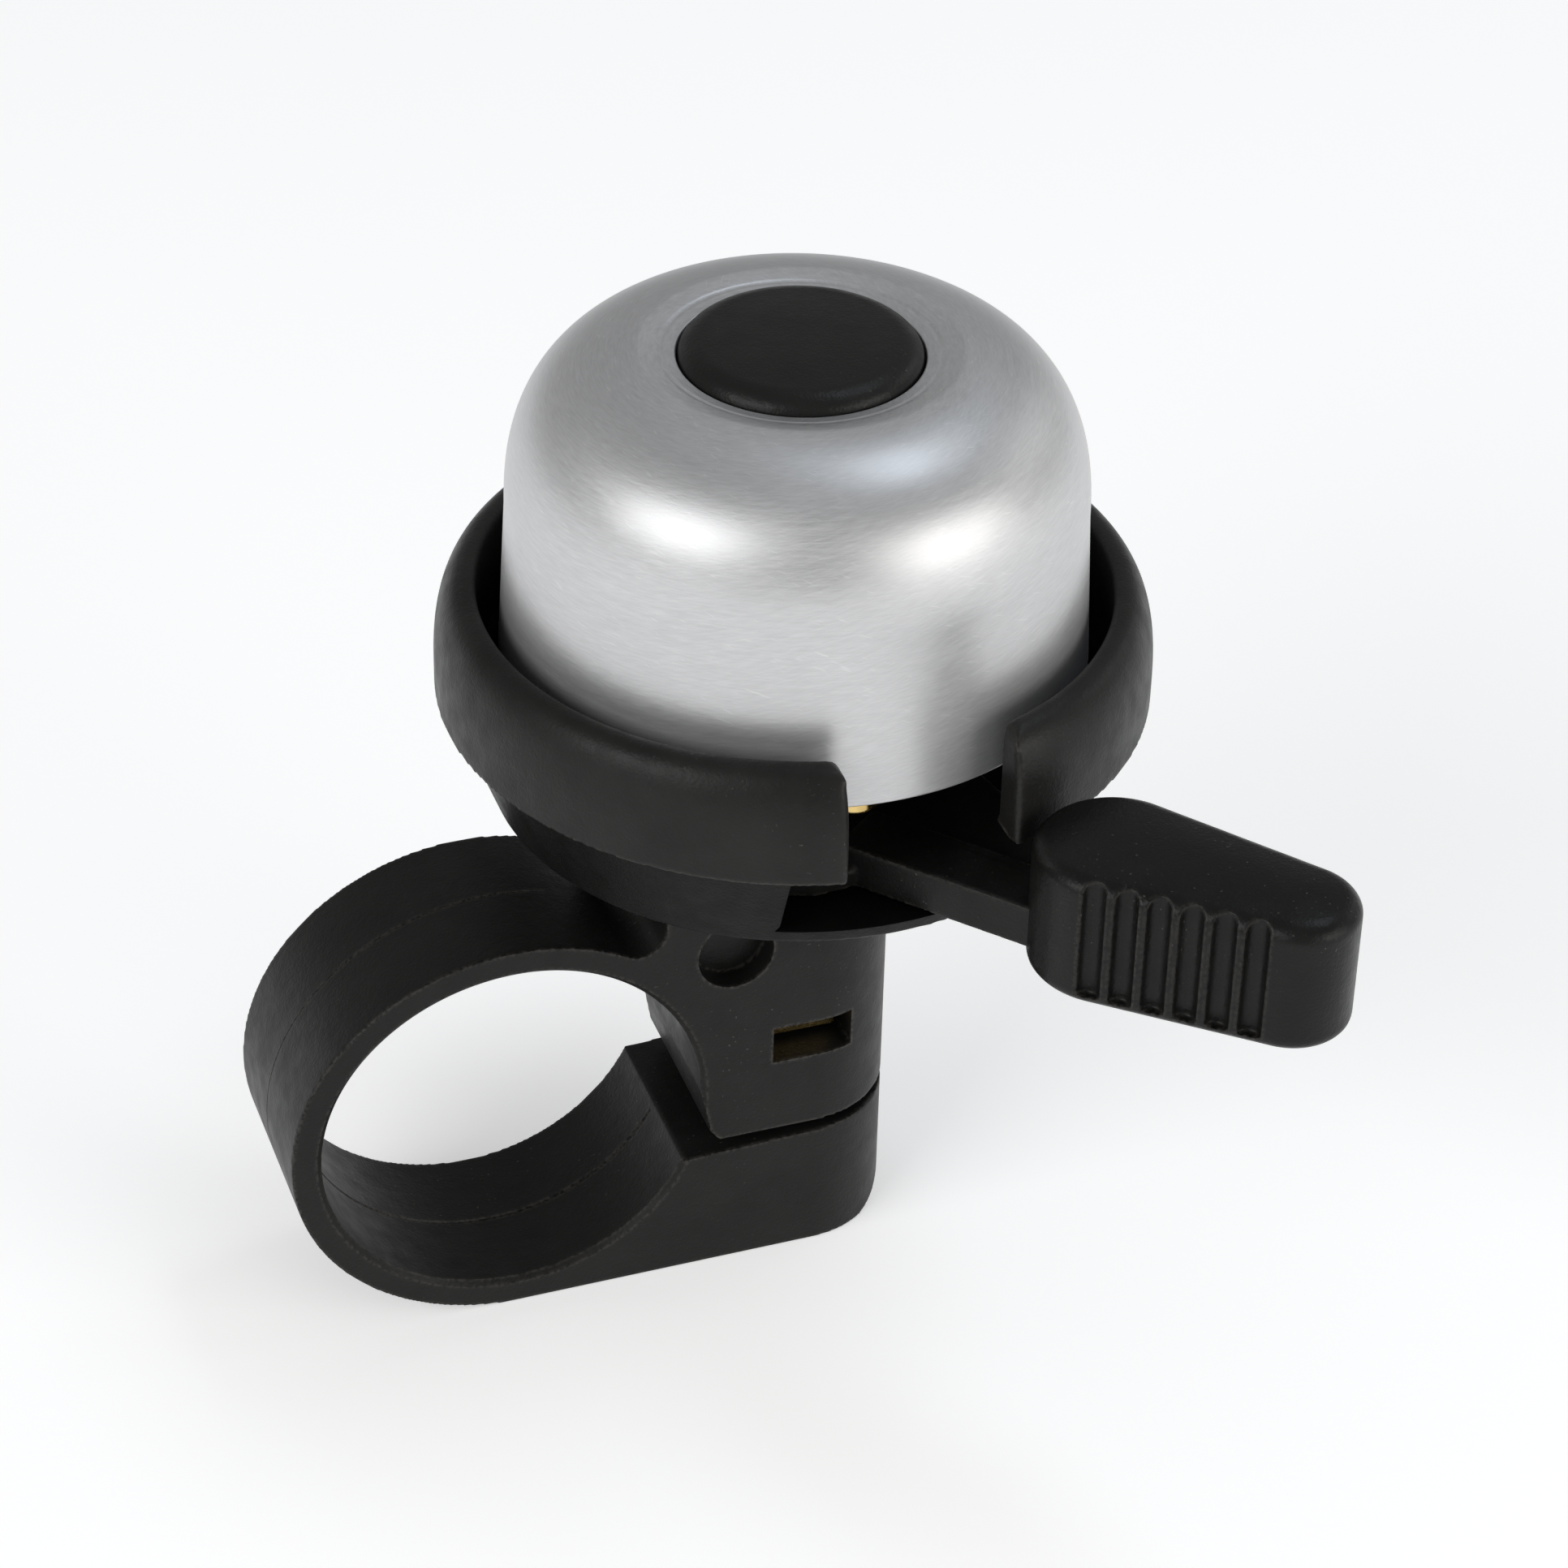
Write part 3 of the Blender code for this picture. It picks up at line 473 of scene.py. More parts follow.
class Look:
    """A node material, with short calls for the nodes it needs."""

    def __init__(self, name, colour, roughness, metallic=0.0, specular=0.5):
        self.material = bpy.data.materials.new(name)
        self.material.use_nodes = True
        self.tree = self.material.node_tree
        self.shader = self.tree.nodes["Principled BSDF"]
        self.shader.inputs["Base Color"].default_value = (*colour, 1)
        self.shader.inputs["Roughness"].default_value = roughness
        self.shader.inputs["Metallic"].default_value = metallic
        self.shader.inputs["Specular IOR Level"].default_value = specular
        self.place = self.tree.nodes.new("ShaderNodeTexCoord").outputs["Object"]

    def link(self, source, target):
        self.tree.links.new(source, target)

    def axes(self):
        """The place's X, Y and Z, in metres."""
        node = self.tree.nodes.new("ShaderNodeSeparateXYZ")
        self.link(self.place, node.inputs["Vector"])
        return node.outputs

    def maths(self, operation, *values):
        node = self.tree.nodes.new("ShaderNodeMath")
        node.operation = operation
        for socket, value in zip(node.inputs, values):
            if isinstance(value, (int, float)):
                socket.default_value = value
            else:
                self.link(value, socket)
        return node.outputs["Value"]

    def noise(self, scale, detail=2.0, roughness=0.5, vector=None):
        """Noise with so many changes a metre."""
        node = self.tree.nodes.new("ShaderNodeTexNoise")
        node.inputs["Scale"].default_value = scale
        node.inputs["Detail"].default_value = detail
        node.inputs["Roughness"].default_value = roughness
        self.link(vector or self.place, node.inputs["Vector"])
        return node.outputs["Fac"]

    def between(self, value, low, high, new_low=0.0, new_high=1.0):
        """A value carried from one range to another, and held at its ends."""
        node = self.tree.nodes.new("ShaderNodeMapRange")
        node.inputs["From Min"].default_value = low
        node.inputs["From Max"].default_value = high
        node.inputs["To Min"].default_value = new_low
        node.inputs["To Max"].default_value = new_high
        self.link(value, node.inputs["Value"])
        return node.outputs["Result"]

    def mix(self, factor, first, second):
        """A colour between two, each a tuple or a socket."""
        node = self.tree.nodes.new("ShaderNodeMix")
        node.data_type = "RGBA"
        sockets = [s for s in node.inputs if s.type == "RGBA"]
        self.link(factor, node.inputs["Factor"])
        for socket, value in zip(sockets, (first, second)):
            if isinstance(value, tuple):
                socket.default_value = (*value, 1)
            else:
                self.link(value, socket)
        return next(s for s in node.outputs if s.type == "RGBA")

    def edge(self, radius):
        """1 where the surface turns within that distance, and 0 on a flat or gently curved face."""
        rounded = self.tree.nodes.new("ShaderNodeBevel")
        rounded.inputs["Radius"].default_value = radius
        rounded.samples = 6
        true = self.tree.nodes.new("ShaderNodeNewGeometry").outputs["Normal"]
        dot = self.tree.nodes.new("ShaderNodeVectorMath")
        dot.operation = "DOT_PRODUCT"
        self.link(rounded.outputs["Normal"], dot.inputs[0])
        self.link(true, dot.inputs[1])
        return self.between(dot.outputs["Value"], 0.995, 0.93)

    def bump(self, *layers):
        """Layers of (height, distance in metres), one on the other."""
        normal = None
        for height, distance in layers:
            node = self.tree.nodes.new("ShaderNodeBump")
            node.inputs["Strength"].default_value = 1.0
            node.inputs["Distance"].default_value = distance
            self.link(height, node.inputs["Height"])
            if normal:
                self.link(normal, node.inputs["Normal"])
            normal = node.outputs["Normal"]
        self.link(normal, self.shader.inputs["Normal"])

    def set(self, socket, value):
        self.link(value, self.shader.inputs[socket])


def toned(colour, tone):
    return tuple(c * tone for c in colour)


def charcoal_plastic(name, tone=1.0, shade_below_tone=None, edge_width=0.00042, shine=0.0):
    """Matt charcoal moulding, with lighter edges that are partly wear and partly painted sheen;
    with a second tone, it is darker and duller below the collar, as painted shade.
    """
    dark, light = toned(CHARCOAL_DARK, tone), toned(CHARCOAL_LIGHT, tone)
    look = Look(name, dark, 0.45, specular=0.2)
    colour = look.mix(look.between(look.noise(260, 3), 0.35, 0.65), dark, light)
    grain = look.noise(5200, 2, 0.6)
    patch = look.between(look.noise(90, 2), 0.48, 0.62)
    speck = look.maths("MULTIPLY", look.between(look.noise(5200, 0), 0.79, 0.84), patch)
    # Lighter edges, partly wear and partly a painted sheen where rounded edges would catch the
    # light
    edge_patches = look.between(look.noise(3800, 1), 0.36, 0.6)
    worn_and_sheen = look.maths("MULTIPLY", look.edge(edge_width), edge_patches)
    colour = look.mix(look.maths("MULTIPLY", worn_and_sheen, 0.7), colour, WORN_EDGE_AND_SHEEN)
    colour = look.mix(look.maths("MULTIPLY", speck, 0.6), colour, DUST)
    # Painted shade: below the collar the colour is darkened and the specular lowered, as shade
    # under the collar
    if shade_below_tone:
        level = COLLAR_BOTTOM * TO_METRES
        above = look.between(look.axes()["Z"], level - 0.0002, level)
        colour = look.mix(above, toned(CHARCOAL_DARK, shade_below_tone), colour)
        look.set("Specular IOR Level", look.between(above, 0, 1, 0.1, 0.2))
    look.set("Base Color", colour)
    rough = look.between(look.noise(700, 3), 0.3, 0.7, 0.36 - shine, 0.48 - shine)
    look.set("Roughness", look.maths("ADD", rough, look.maths("MULTIPLY", worn_and_sheen, 0.12)))
    look.bump((grain, 0.000022), (look.noise(1500, 2), 0.00002))
    return look.material


def brushed_aluminium():
    """Satin aluminium, brushed round the bell's axis, with a few loose scratches."""
    look = Look("brushed_aluminium", ALUMINIUM_LIGHT, 0.44, metallic=0.8)
    axes = look.axes()
    x = look.maths("SUBTRACT", axes["X"], BELL[0] * TO_METRES)
    y = axes["Y"]
    squares = look.maths("MULTIPLY", x, x), look.maths("MULTIPLY", y, y)
    radius = look.maths("SQRT", look.maths("ADD", *squares))
    run = look.maths("SUBTRACT", radius, axes["Z"])

    def rings(across, along, lean):
        """A place drawn out round the axis: across lines a metre, and along changes a radian."""
        vector = look.tree.nodes.new("ShaderNodeCombineXYZ")
        cosine = look.maths("DIVIDE", x, radius)
        sine = look.maths("DIVIDE", y, radius)
        slanted = look.maths("ADD", run, look.maths("MULTIPLY", cosine, lean))
        look.link(look.maths("MULTIPLY", cosine, along), vector.inputs["X"])
        look.link(look.maths("MULTIPLY", sine, along), vector.inputs["Y"])
        look.link(look.maths("MULTIPLY", slanted, across), vector.inputs["Z"])
        return vector.outputs["Vector"]

    fine = look.noise(1, 2, 0.6, rings(9000, 9, 0.0))
    crossed = look.noise(1, 2, 0.6, rings(7000, 14, 0.006))
    counter = look.noise(1, 1, 0.5, rings(6000, 14, -0.008))
    broad = look.noise(120, 3)
    halves = look.maths("MULTIPLY", fine, 0.5), look.maths("MULTIPLY", crossed, 0.5)
    lines = look.maths("ADD", *halves)
    tone = look.mix(look.between(lines, 0.32, 0.68), ALUMINIUM_DARK, ALUMINIUM_LIGHT)
    scratch = look.between(counter, 0.68, 0.76)
    look.set("Base Color", look.mix(look.maths("MULTIPLY", scratch, 0.35), tone, SCRATCH))
    rough = look.between(lines, 0.3, 0.7, 0.38, 0.46)
    rough = look.maths("ADD", rough, look.between(broad, 0.35, 0.65, -0.02, 0.03))
    level = DOME_SHOULDER * TO_METRES
    crown = look.between(axes["Z"], level - 0.0045, level + 0.001)
    look.set("Roughness", look.maths("MULTIPLY", rough, look.between(crown, 0, 1, 0.8, 1.0)))
    look.set("Metallic", look.between(crown, 0, 1, 0.62, 0.8))
    look.bump((lines, 0.000005), (counter, 0.000002))
    around = look.tree.nodes.new("ShaderNodeTangent")
    around.direction_type = "RADIAL"
    around.axis = "Z"
    look.set("Tangent", around.outputs["Tangent"])
    look.shader.inputs["Anisotropic"].default_value = 0.25
    return look.material


def turned_metal(name, dark, light, rough, scale=2600):
    """Machined metal: fine grain, a little tarnish and brighter edges."""
    look = Look(name, light, rough, metallic=1.0)
    grain = look.noise(scale, 2)
    tarnish = look.noise(500, 3)
    colour = look.mix(look.between(tarnish, 0.35, 0.7), dark, light)
    bright = toned(light, 1.15)
    rubbed = look.maths("MULTIPLY", look.edge(0.00015), 0.5)
    look.set("Base Color", look.mix(rubbed, colour, bright))
    look.set("Roughness", look.between(grain, 0.3, 0.7, rough - 0.06, rough + 0.08))
    look.bump((grain, 0.000004))
    return look.material


def nylon():
    """Unpainted nylon, a little cloudy."""
    look = Look("natural_nylon", NYLON_LIGHT, 0.5)
    cloud = look.between(look.noise(400, 3), 0.3, 0.7)
    look.set("Base Color", look.mix(cloud, NYLON_DARK, NYLON_LIGHT))
    look.set("Roughness", look.between(look.noise(1500, 2), 0.3, 0.7, 0.42, 0.58))
    look.bump((look.noise(3000, 2), 0.000008))
    return look.material


# ---------------------------------------------------------------- pieces


def band_arc(radius, start, end, steps):
    """An arc of the band, which is a little oval on the side away from the bell."""
    return [
        (x * BAND_STRETCH if x < 0 else x, z) for x, z in arc((0, 0), radius, start, end, steps)
    ]


def clamp_outline():
    """The whole moulding from the side: block, band and lug, split between block and lug."""
    end = END_X + END_R
    wall = NECK_X - FILLET_R
    fillet_z = math.sqrt((BAND_R + FILLET_R) ** 2 - wall**2)
    touch = math.degrees(math.atan2(fillet_z, wall))
    lip = -math.degrees(math.asin(-LUG_TOP_INNER / BORE_R))
    corner = (end - LUG_CORNER_R, -BAND_R + LUG_CORNER_R)
    outline = [(NECK_X, BLOCK_TOP)]
    outline += arc((wall, fillet_z), FILLET_R, 0, touch - 180, 14)
    outline += band_arc(BAND_R, touch, 270, 96)[1:]
    outline += arc(corner, LUG_CORNER_R, -90, 0, 18)
    outline += [(end, LUG_TOP_OUTER)]
    outline += band_arc(BORE_R, lip, -360, 120)
    run, rise = BLOCK_CORNER
    outline += [(BLOCK_SIDE_X, BLOCK_BOTTOM + rise), (BLOCK_SIDE_X + run, BLOCK_BOTTOM)]
    outline += [(end, BLOCK_BOTTOM), (end, BLOCK_TOP)]
    return outline


def clamp_moulding():
    body = prism("clamp_moulding", clamp_outline(), -HALF_W, HALF_W, "Y")
    seen_above = [(-FAR, -HALF_W)] + arc((END_X, 0), END_R, -90, 90, 64) + [(-FAR, HALF_W)]
    rounding = prism("end_rounding", seen_above, -FAR, FAR)
    combine(body, rounding, operation="INTERSECT", solver="EXACT")
    soften(body, *CLAMP_SOFT)
    half = NUT_SLOT_W / 2
    slot = slab(
        "nut_slot",
        (SCREW_X - half, -2 * HALF_W, NUT_SLOT_Z - NUT_SLOT_H / 2),
        (SCREW_X + half, half, NUT_SLOT_Z + NUT_SLOT_H / 2),
    )
    x, z = RECESS
    recess = rod("recess", RECESS_R, (x, -2 * HALF_W, z), (x, RECESS_DEPTH - HALF_W, z))
    nut_hole = rod("nut_hole", SCREW_HOLE_R, (SCREW_X, 0, -FAR), (SCREW_X, 0, SCREW_TIP + TIP_ROOM))
    stud_hole = rod("stud_hole", STUD_HOLE_R, (*BELL, STUD_FOOT - GAP), (*BELL, FAR))
    seat = rod("counterbore", COUNTERBORE_R, (SCREW_X, 0, -FAR), (SCREW_X, 0, COUNTERBORE_TOP))
    inner_line = swept_groove(
        "inner_line", BORE_R, INNER_LINE_ARC, INNER_LINE_W, INNER_LINE_DEPTH
    )
    outer_line = swept_groove("outer_line", BAND_R, PARTING_ARC, PARTING_W, -PARTING_DEPTH)
    corner_r, corner_y = BORE_R - SPARE, -HALF_W - SPARE
    reach = BORE_CHAMFER + 2 * SPARE
    section = [(corner_r, corner_y), (corner_r + reach, corner_y), (corner_r, corner_y + reach)]
    chamfer = swept("bore_chamfer", section, *CHAMFER_ARC, 180)
    combine(body, slot, recess, nut_hole, stud_hole, seat, inner_line, outer_line, chamfer)
    bodies = ("base", "clamp_lug", *BEND_ZONE)
    place(body, PLASTIC, "black_plastic", bodies, "clamp_body", "clamp_lug")


def superellipse(radius, height, run, rise, power, steps):
    """A quarter of a squared-off ellipse, from its top down to its widest place."""
    points = []
    for i in range(steps + 1):
        turn = math.pi / 2 * (1 - i / steps)
        points.append((
            radius + run * max(math.cos(turn), 0) ** (2 / power),
            height + rise * max(math.sin(turn), 0) ** (2 / power),
        ))
    return points


def collar_curve(steps=28):
    """The collar's rounded outer side, from its crest down to where it stands upright."""
    run, rise = COLLAR_R - COLLAR_CREST_R, COLLAR_TOP - COLLAR_SHOULDER
    return superellipse(COLLAR_CREST_R, COLLAR_SHOULDER, run, rise, COLLAR_CURVE, steps)


def cup_shell():
    profile = collar_curve()
    profile += [
        (COLLAR_R, COLLAR_BOTTOM), (CUP_TOP_R, COLLAR_BOTTOM), (CUP_BOTTOM_R, CUP_BOTTOM),
        (STUD_HOLE_R, CUP_BOTTOM), (STUD_HOLE_R, CUP_BOSS_TOP), (CUP_BOSS_R, CUP_BOSS_TOP),
        (CUP_BOSS_R, FLOOR_TOP), (FLOOR_R, FLOOR_TOP), (COLLAR_IN_R, COLLAR_BOTTOM + CUP_LEDGE),
    ]
    lip = (COLLAR_IN_R + COLLAR_LIP, COLLAR_TOP - COLLAR_LIP)
    profile += arc(lip, COLLAR_LIP, 180, 90, 8)[:-1]
    cup = turned("cup_shell", profile, BELL, 240)
    left, right = BELL[0] + GAP_LEFT, BELL[0] + GAP_RIGHT
    low = COLLAR_BOTTOM - SPARE
    opening = [(left, low), (right, low)]
    opening += arc(
        (right + GAP_RIGHT_CORNER, COLLAR_TOP - GAP_RIGHT_CORNER), GAP_RIGHT_CORNER, 180, 90, 10
    )
    opening += [(right + GAP_RIGHT_CORNER, FAR), (left - GAP_LEFT_CORNER, FAR)]
    opening += arc(
        (left - GAP_LEFT_CORNER, COLLAR_TOP - GAP_LEFT_CORNER), GAP_LEFT_CORNER, 90, 0, 14
    )
    combine(cup, prism("collar_gap", opening, -FAR, -2 * CUP_BOSS_R, "Y"), solver="EXACT")
    round_gap_ends(cup)
    soften(cup, *CUP_SOFT)
    start, end = WINDOW
    middle = (start + end) / 2
    corners = [
        (WINDOW_DEEP, start), (FAR, start), (2 * FAR, middle),
        (FAR, end), (WINDOW_DEEP, end), (WINDOW_DEEP, middle),
    ]
    window = prism("lever_window", [polar(BELL, *c) for c in corners], FLOOR_TOP, COLLAR_BOTTOM)
    for vertex in window.data.vertices:
        if vertex.co.z > (FLOOR_TOP + COLLAR_BOTTOM) / 2:
            turn = math.radians(WINDOW_SLANT) * (vertex.co.x < BELL[0])
            spot = Vector((vertex.co.x - BELL[0], vertex.co.y, 0))
            spot.rotate(Matrix.Rotation(turn, 3, "Z"))
            vertex.co.x, vertex.co.y = BELL[0] + spot.x, spot.y
    pin_hole = rod("pin_hole", PIN_HOLE_R, (*PIN, 0), (*PIN, FAR))
    combine(cup, window, pin_hole)
    place(cup, CUP_PLASTIC, "black_plastic", "base", "base_cup")


def round_gap_ends(cup):
    """Rounds the outer upright edges of the collar where the gap cuts it."""
    mesh = cup.data
    weights = mesh.attributes.new("bevel_weight_edge", "FLOAT", "EDGE")
    for edge, weight in zip(mesh.edges, weights.data):
        first, second = (mesh.vertices[i].co for i in edge.vertices)
        upright = abs(first.z - second.z) > abs(first.x - second.x) + abs(first.y - second.y)
        at_gap = any(
            abs(first.x - BELL[0] - x) < 0.01 and abs(second.x - BELL[0] - x) < 0.01
            for x in (GAP_LEFT, GAP_RIGHT)
        )
        outside = math.hypot(first.x - BELL[0], first.y) > COLLAR_CREST_R
        if upright and at_gap and outside and first.y < 0:
            weight.value = 1.0
    bevel = cup.modifiers.new("Ends", "BEVEL")
    bevel.limit_method = "WEIGHT"
    bevel.use_clamp_overlap = False
    bevel.width = GAP_EDGE
    bevel.segments = 4
    bake(cup)


def dome_curve(inset, steps=40):
    """The dome's outer side from the well's edge to the rim, moved inwards by inset."""
    rise = DOME_TOP - DOME_SHOULDER - inset
    run = DOME_SHOULDER_R - WELL_R - inset
    points = superellipse(WELL_R, DOME_SHOULDER, run, rise, DOME_CURVE, steps)
    rim = DOME_RIM_R - inset
    for share in (0.25, 0.5, 0.75):
        points.append((
            points[steps][0] + (rim - points[steps][0]) * share,
            DOME_SHOULDER + (DOME_RIM - DOME_SHOULDER) * share,
        ))
    return points


def dome_height(radius):
    """The height of the dome's crown at a radius outside the well."""
    share = (radius - WELL_R) / (DOME_SHOULDER_R - WELL_R)
    return DOME_SHOULDER + (DOME_TOP - DOME_SHOULDER) * (1 - share**DOME_CURVE) ** (1 / DOME_CURVE)


def bell_dome():
    soft, lip = DOME_EDGE, WELL_LIP
    inside = [p for p in dome_curve(DOME_WALL) if p[0] > WELL_R + DOME_WALL]
    profile = [(STUD_HOLE_R, WELL_FLOOR), (WELL_R - soft, WELL_FLOOR)]
    profile += arc((WELL_R - soft, WELL_FLOOR + soft), soft, -90, 0, 4)
    edge_z = DOME_TOP - DISH_DEPTH
    profile += arc((WELL_R + lip, edge_z - lip), lip, 180, 90, 6)
    for i in range(1, 25):
        share = i / 24
        radius = WELL_R + lip + (DISH_R - WELL_R - lip) * share
        height = edge_z + DISH_DEPTH * share**1.5 * (2.5 - 1.5 * share)
        if abs(radius - RING_R) < RING_W:
            height -= RING_DEPTH
        profile.append((radius, min(height, dome_height(radius))))
    profile += [p for p in dome_curve(0) if p[0] > DISH_R + lip]
    profile += arc((DOME_RIM_R - soft, DOME_RIM + soft), soft, 0, -90, 4)
    profile += arc((DOME_RIM_R - DOME_WALL + soft, DOME_RIM + soft), soft, -90, -180, 4)
    profile += list(reversed(inside))
    profile += [
        (WELL_R + DOME_WALL, DOME_TOP - 1.15 * DOME_WALL),
        (WELL_R + DOME_WALL, WELL_FLOOR - DOME_WALL), (STUD_HOLE_R, WELL_FLOOR - DOME_WALL),
    ]
    dome = turned("bell_dome", profile, BELL, 256)
    place(dome, ALUMINIUM, "dome_aluminium", "base", "dome", sharp=50)


def crown_cap():
    flat_r = CAP_R - CAP_EDGE_W
    edge_z = CAP_TOP - CAP_CROWN
    profile = [
        (flat_r * i / 12, CAP_TOP - CAP_CROWN * (i / 12) ** 2) for i in range(12)
    ]
    for i in range(13):
        turn = math.pi / 2 * (1 - i / 12)
        profile.append((
            flat_r + CAP_EDGE_W * math.cos(turn), edge_z - CAP_EDGE_H * (1 - math.sin(turn))
        ))
    profile += [
        (CAP_R, CAP_BOTTOM + CAP_FOOT_EDGE), (CAP_R - CAP_FOOT_EDGE, CAP_BOTTOM),
        (CAP_SKIRT_IN_R, CAP_BOTTOM), (CAP_SKIRT_IN_R, CAP_UNDER), (0, CAP_UNDER),
    ]
    cap = turned("crown_cap", profile, BELL, 160, closed=False)
    place(cap, CAP_PLASTIC, "black_plastic", "base", "dome_cap", sharp=50)


def round_rim(obj, level, width, segments):
    """Rounds the edges of an upright prism's face at one height."""
    solid = bmesh.new()
    solid.from_mesh(obj.data)
    rim = [e for e in solid.edges if all(abs(v.co.z - level) < LEVEL_ROOM for v in e.verts)]
    bmesh.ops.bevel(
        solid, geom=rim, offset=width, offset_type="OFFSET", segments=segments, profile=0.5,
        affect="EDGES",
    )
    solid.to_mesh(obj.data)
    solid.free()


def grip_pad():
    """The thumb grip: a tapered, crowned block with upright grooves in its thumb face."""
    inner, outer = Vector(PAD_INNER), Vector(PAD_OUTER)
    along = outer - inner
    lean = math.degrees(math.asin((PAD_INNER_R - PAD_OUTER_R) / along.length))
    heading = math.degrees(math.atan2(along.y, along.x))
    outline = arc(PAD_OUTER, PAD_OUTER_R, heading - 90 + lean, heading + 90 - lean, 40)
    outline += arc(PAD_INNER, PAD_INNER_R, heading + 90 - lean, heading + 270 + lean, 56)
    pad = prism("grip_pad", outline, PAD_LOW, PAD_HIGH)
    round_rim(pad, PAD_HIGH, PAD_EDGE, 8)
    round_rim(pad, PAD_LOW, PAD_FOOT_EDGE, 4)
    face = math.radians(heading - 90 + lean)
    normal = Vector((math.cos(face), math.sin(face)))
    run = Vector((-normal.y, normal.x))
    first = inner + normal * (PAD_INNER_R + GROOVE_OFFSET) + run * GROOVE_START
    grooves = []
    for index in range(GROOVES):
        spot = first + run * GROOVE_PITCH * index
        foot, top = (*spot, GROOVE_FLOOR), (*spot, FAR)
        grooves.append(rod(f"groove_{index + 1}", GROOVE_R, foot, top, 32))
    combine(pad, *grooves, solver="EXACT")
    soften(pad, *PAD_SOFT)
    middle = (PAD_LOW + PAD_HIGH) / 2
    for vertex in pad.data.vertices:
        spot = Vector(vertex.co[:2])
        share = max(0.0, min(1.0, (spot - inner).dot(along) / along.length_squared))
        reach = (spot - inner.lerp(outer, share)).length / (
            PAD_INNER_R + (PAD_OUTER_R - PAD_INNER_R) * share
        )
        if vertex.co.z > middle:
            lift = (vertex.co.z - middle) / (PAD_HIGH - middle)
            vertex.co.z -= PAD_CROWN * min(reach, 1) ** 2 * lift**2
    tip = inner.lerp(outer, 0.25)
    root = Vector(TONGUE_ROOT)
    pocket = bar(
        "tongue_pocket", root, tip + (tip - root).normalized() * GAP, TONGUE_W, *TONGUE_Z
    )
    combine(pad, pocket)
    place(pad, PAD_PLASTIC, "black_plastic", "lever", "thumb_pad")


def press_arm():
    """The lever's plate and raised arm, with the arm carried on into the grip."""
    arm = bevelled_copy("lever_arm", "press_arm", 0)
    inner, outer = Vector(ARM_INNER), Vector(ARM_OUTER)
    along = (outer - inner).normalized()
    side = Vector((-along.y, along.x)) * ARM_RIM_W
    start, end = (inner + outer) / 2, outer + along * ARM_INTO_GRIP
    outline = [tuple(p) for p in (start, end, end + side, start + side)]
    combine(arm, prism("arm_rim", outline, *ARM_RIM_Z), operation="UNION", solver="EXACT")
    soften(arm, *ARM_SOFT)
    place(arm, PLASTIC, "black_plastic", "lever", "lever_arm")


def clamp_bolt():
    """The clamp screw, with its thread and a cross recess in the head."""
    bottom = SCREW_HEAD_TOP - SCREW_HEAD_H
    root_r = SCREW_R - THREAD_DEPTH
    profile = [(0, SCREW_TIP), (root_r - 0.2, SCREW_TIP)]
    height = SCREW_TIP - 0.3
    while height > SCREW_HEAD_TOP + SCREW_SHANK:
        profile += [(root_r, height), (SCREW_R, height - THREAD_PITCH / 2)]
        height -= THREAD_PITCH
    profile += [(root_r, height), (root_r, SCREW_HEAD_TOP), (SCREW_HEAD_R, SCREW_HEAD_TOP)]
    edge = SCREW_HEAD_EDGE
    profile += arc((SCREW_HEAD_R - edge, bottom + edge), edge, 0, -90, 6)
    profile += [(0, bottom)]
    bolt = turned("clamp_bolt", profile, (SCREW_X, 0), 72, closed=False)
    arms = [
        slab(name, (SCREW_X - a, -b, bottom - 1), (SCREW_X + a, b, bottom + CROSS_DEPTH))
        for name, a, b in (
            ("cross_a", CROSS_REACH, CROSS_HALF_W), ("cross_b", CROSS_HALF_W, CROSS_REACH)
        )
    ]
    combine(bolt, *arms, solver="EXACT")
    place(bolt, STEEL, "steel", "clamp_screw", "clamp_screw")


def striker_hammer():
    low, high = HAMMER_Z
    ring_low, ring_high = HAMMER_RING
    neck = HAMMER_R - HAMMER_RING_DEPTH
    edge = HAMMER_FOOT_EDGE
    profile = arc((0, high - HAMMER_R), HAMMER_R, 90, 0, 14)
    profile[0] = (0, high)
    profile += [
        (HAMMER_R, ring_high), (neck, ring_high - HAMMER_RING_SLOPE),
        (neck, ring_low + HAMMER_RING_SLOPE), (HAMMER_R, ring_low),
    ]
    profile += arc((HAMMER_R - edge, low + edge), edge, 0, -90, 6) + [(0, low)]
    hammer = turned("striker_hammer", profile, HAMMER, 64, closed=False)
    at = Vector(HAMMER)
    along = (at - Vector(LEAF_ROOT)).normalized()
    start = at - along * 2 * HAMMER_R
    leaf_low, leaf_high = LEAF_Z
    slit = bar("leaf_slit", start, at, LEAF_T + 2 * GAP, leaf_low - GAP, leaf_high + GAP)
    combine(hammer, slit, solver="EXACT")
    place(hammer, BRASS, "brass", "striker", "hammer")


def square_nut():
    nut = bevelled_copy("clamp_nut", "square_nut", NUT_EDGE, 3)
    place(nut, BRASS, "brass", "base", "clamp_nut")


def paint_nodes():
    """Materials for the CAD nodes that are shown as they are."""
    for look, nodes in (
        (STEEL, ("dome_stud", "dome_top_washer", "dome_nut", "lever_pin", "return_spring",
                 "striker_leaf", "clamp_washer")),
        (NYLON, ("post_sleeve", "dome_seat_washer", "lever_washer")),
        (BRASS, ("lever_bush", "striker_rivet")),
    ):
        for name in nodes:
            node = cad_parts[name]
            if not node.material_slots:
                node.data.materials.append(look)
            for socket in node.material_slots:
                socket.material = look


# ---------------------------------------------------------------- studio


def pointing(back, roll=0.0):
    """A rotation that looks against back, with the horizon level unless rolled."""
    right = Vector((-back.y, back.x, 0)).normalized()
    up = back.cross(right)
    turned_right = right * math.cos(roll) + up * math.sin(roll)
    turned_up = up * math.cos(roll) - right * math.sin(roll)
    return Matrix((turned_right, turned_up, back)).transposed().to_4x4()


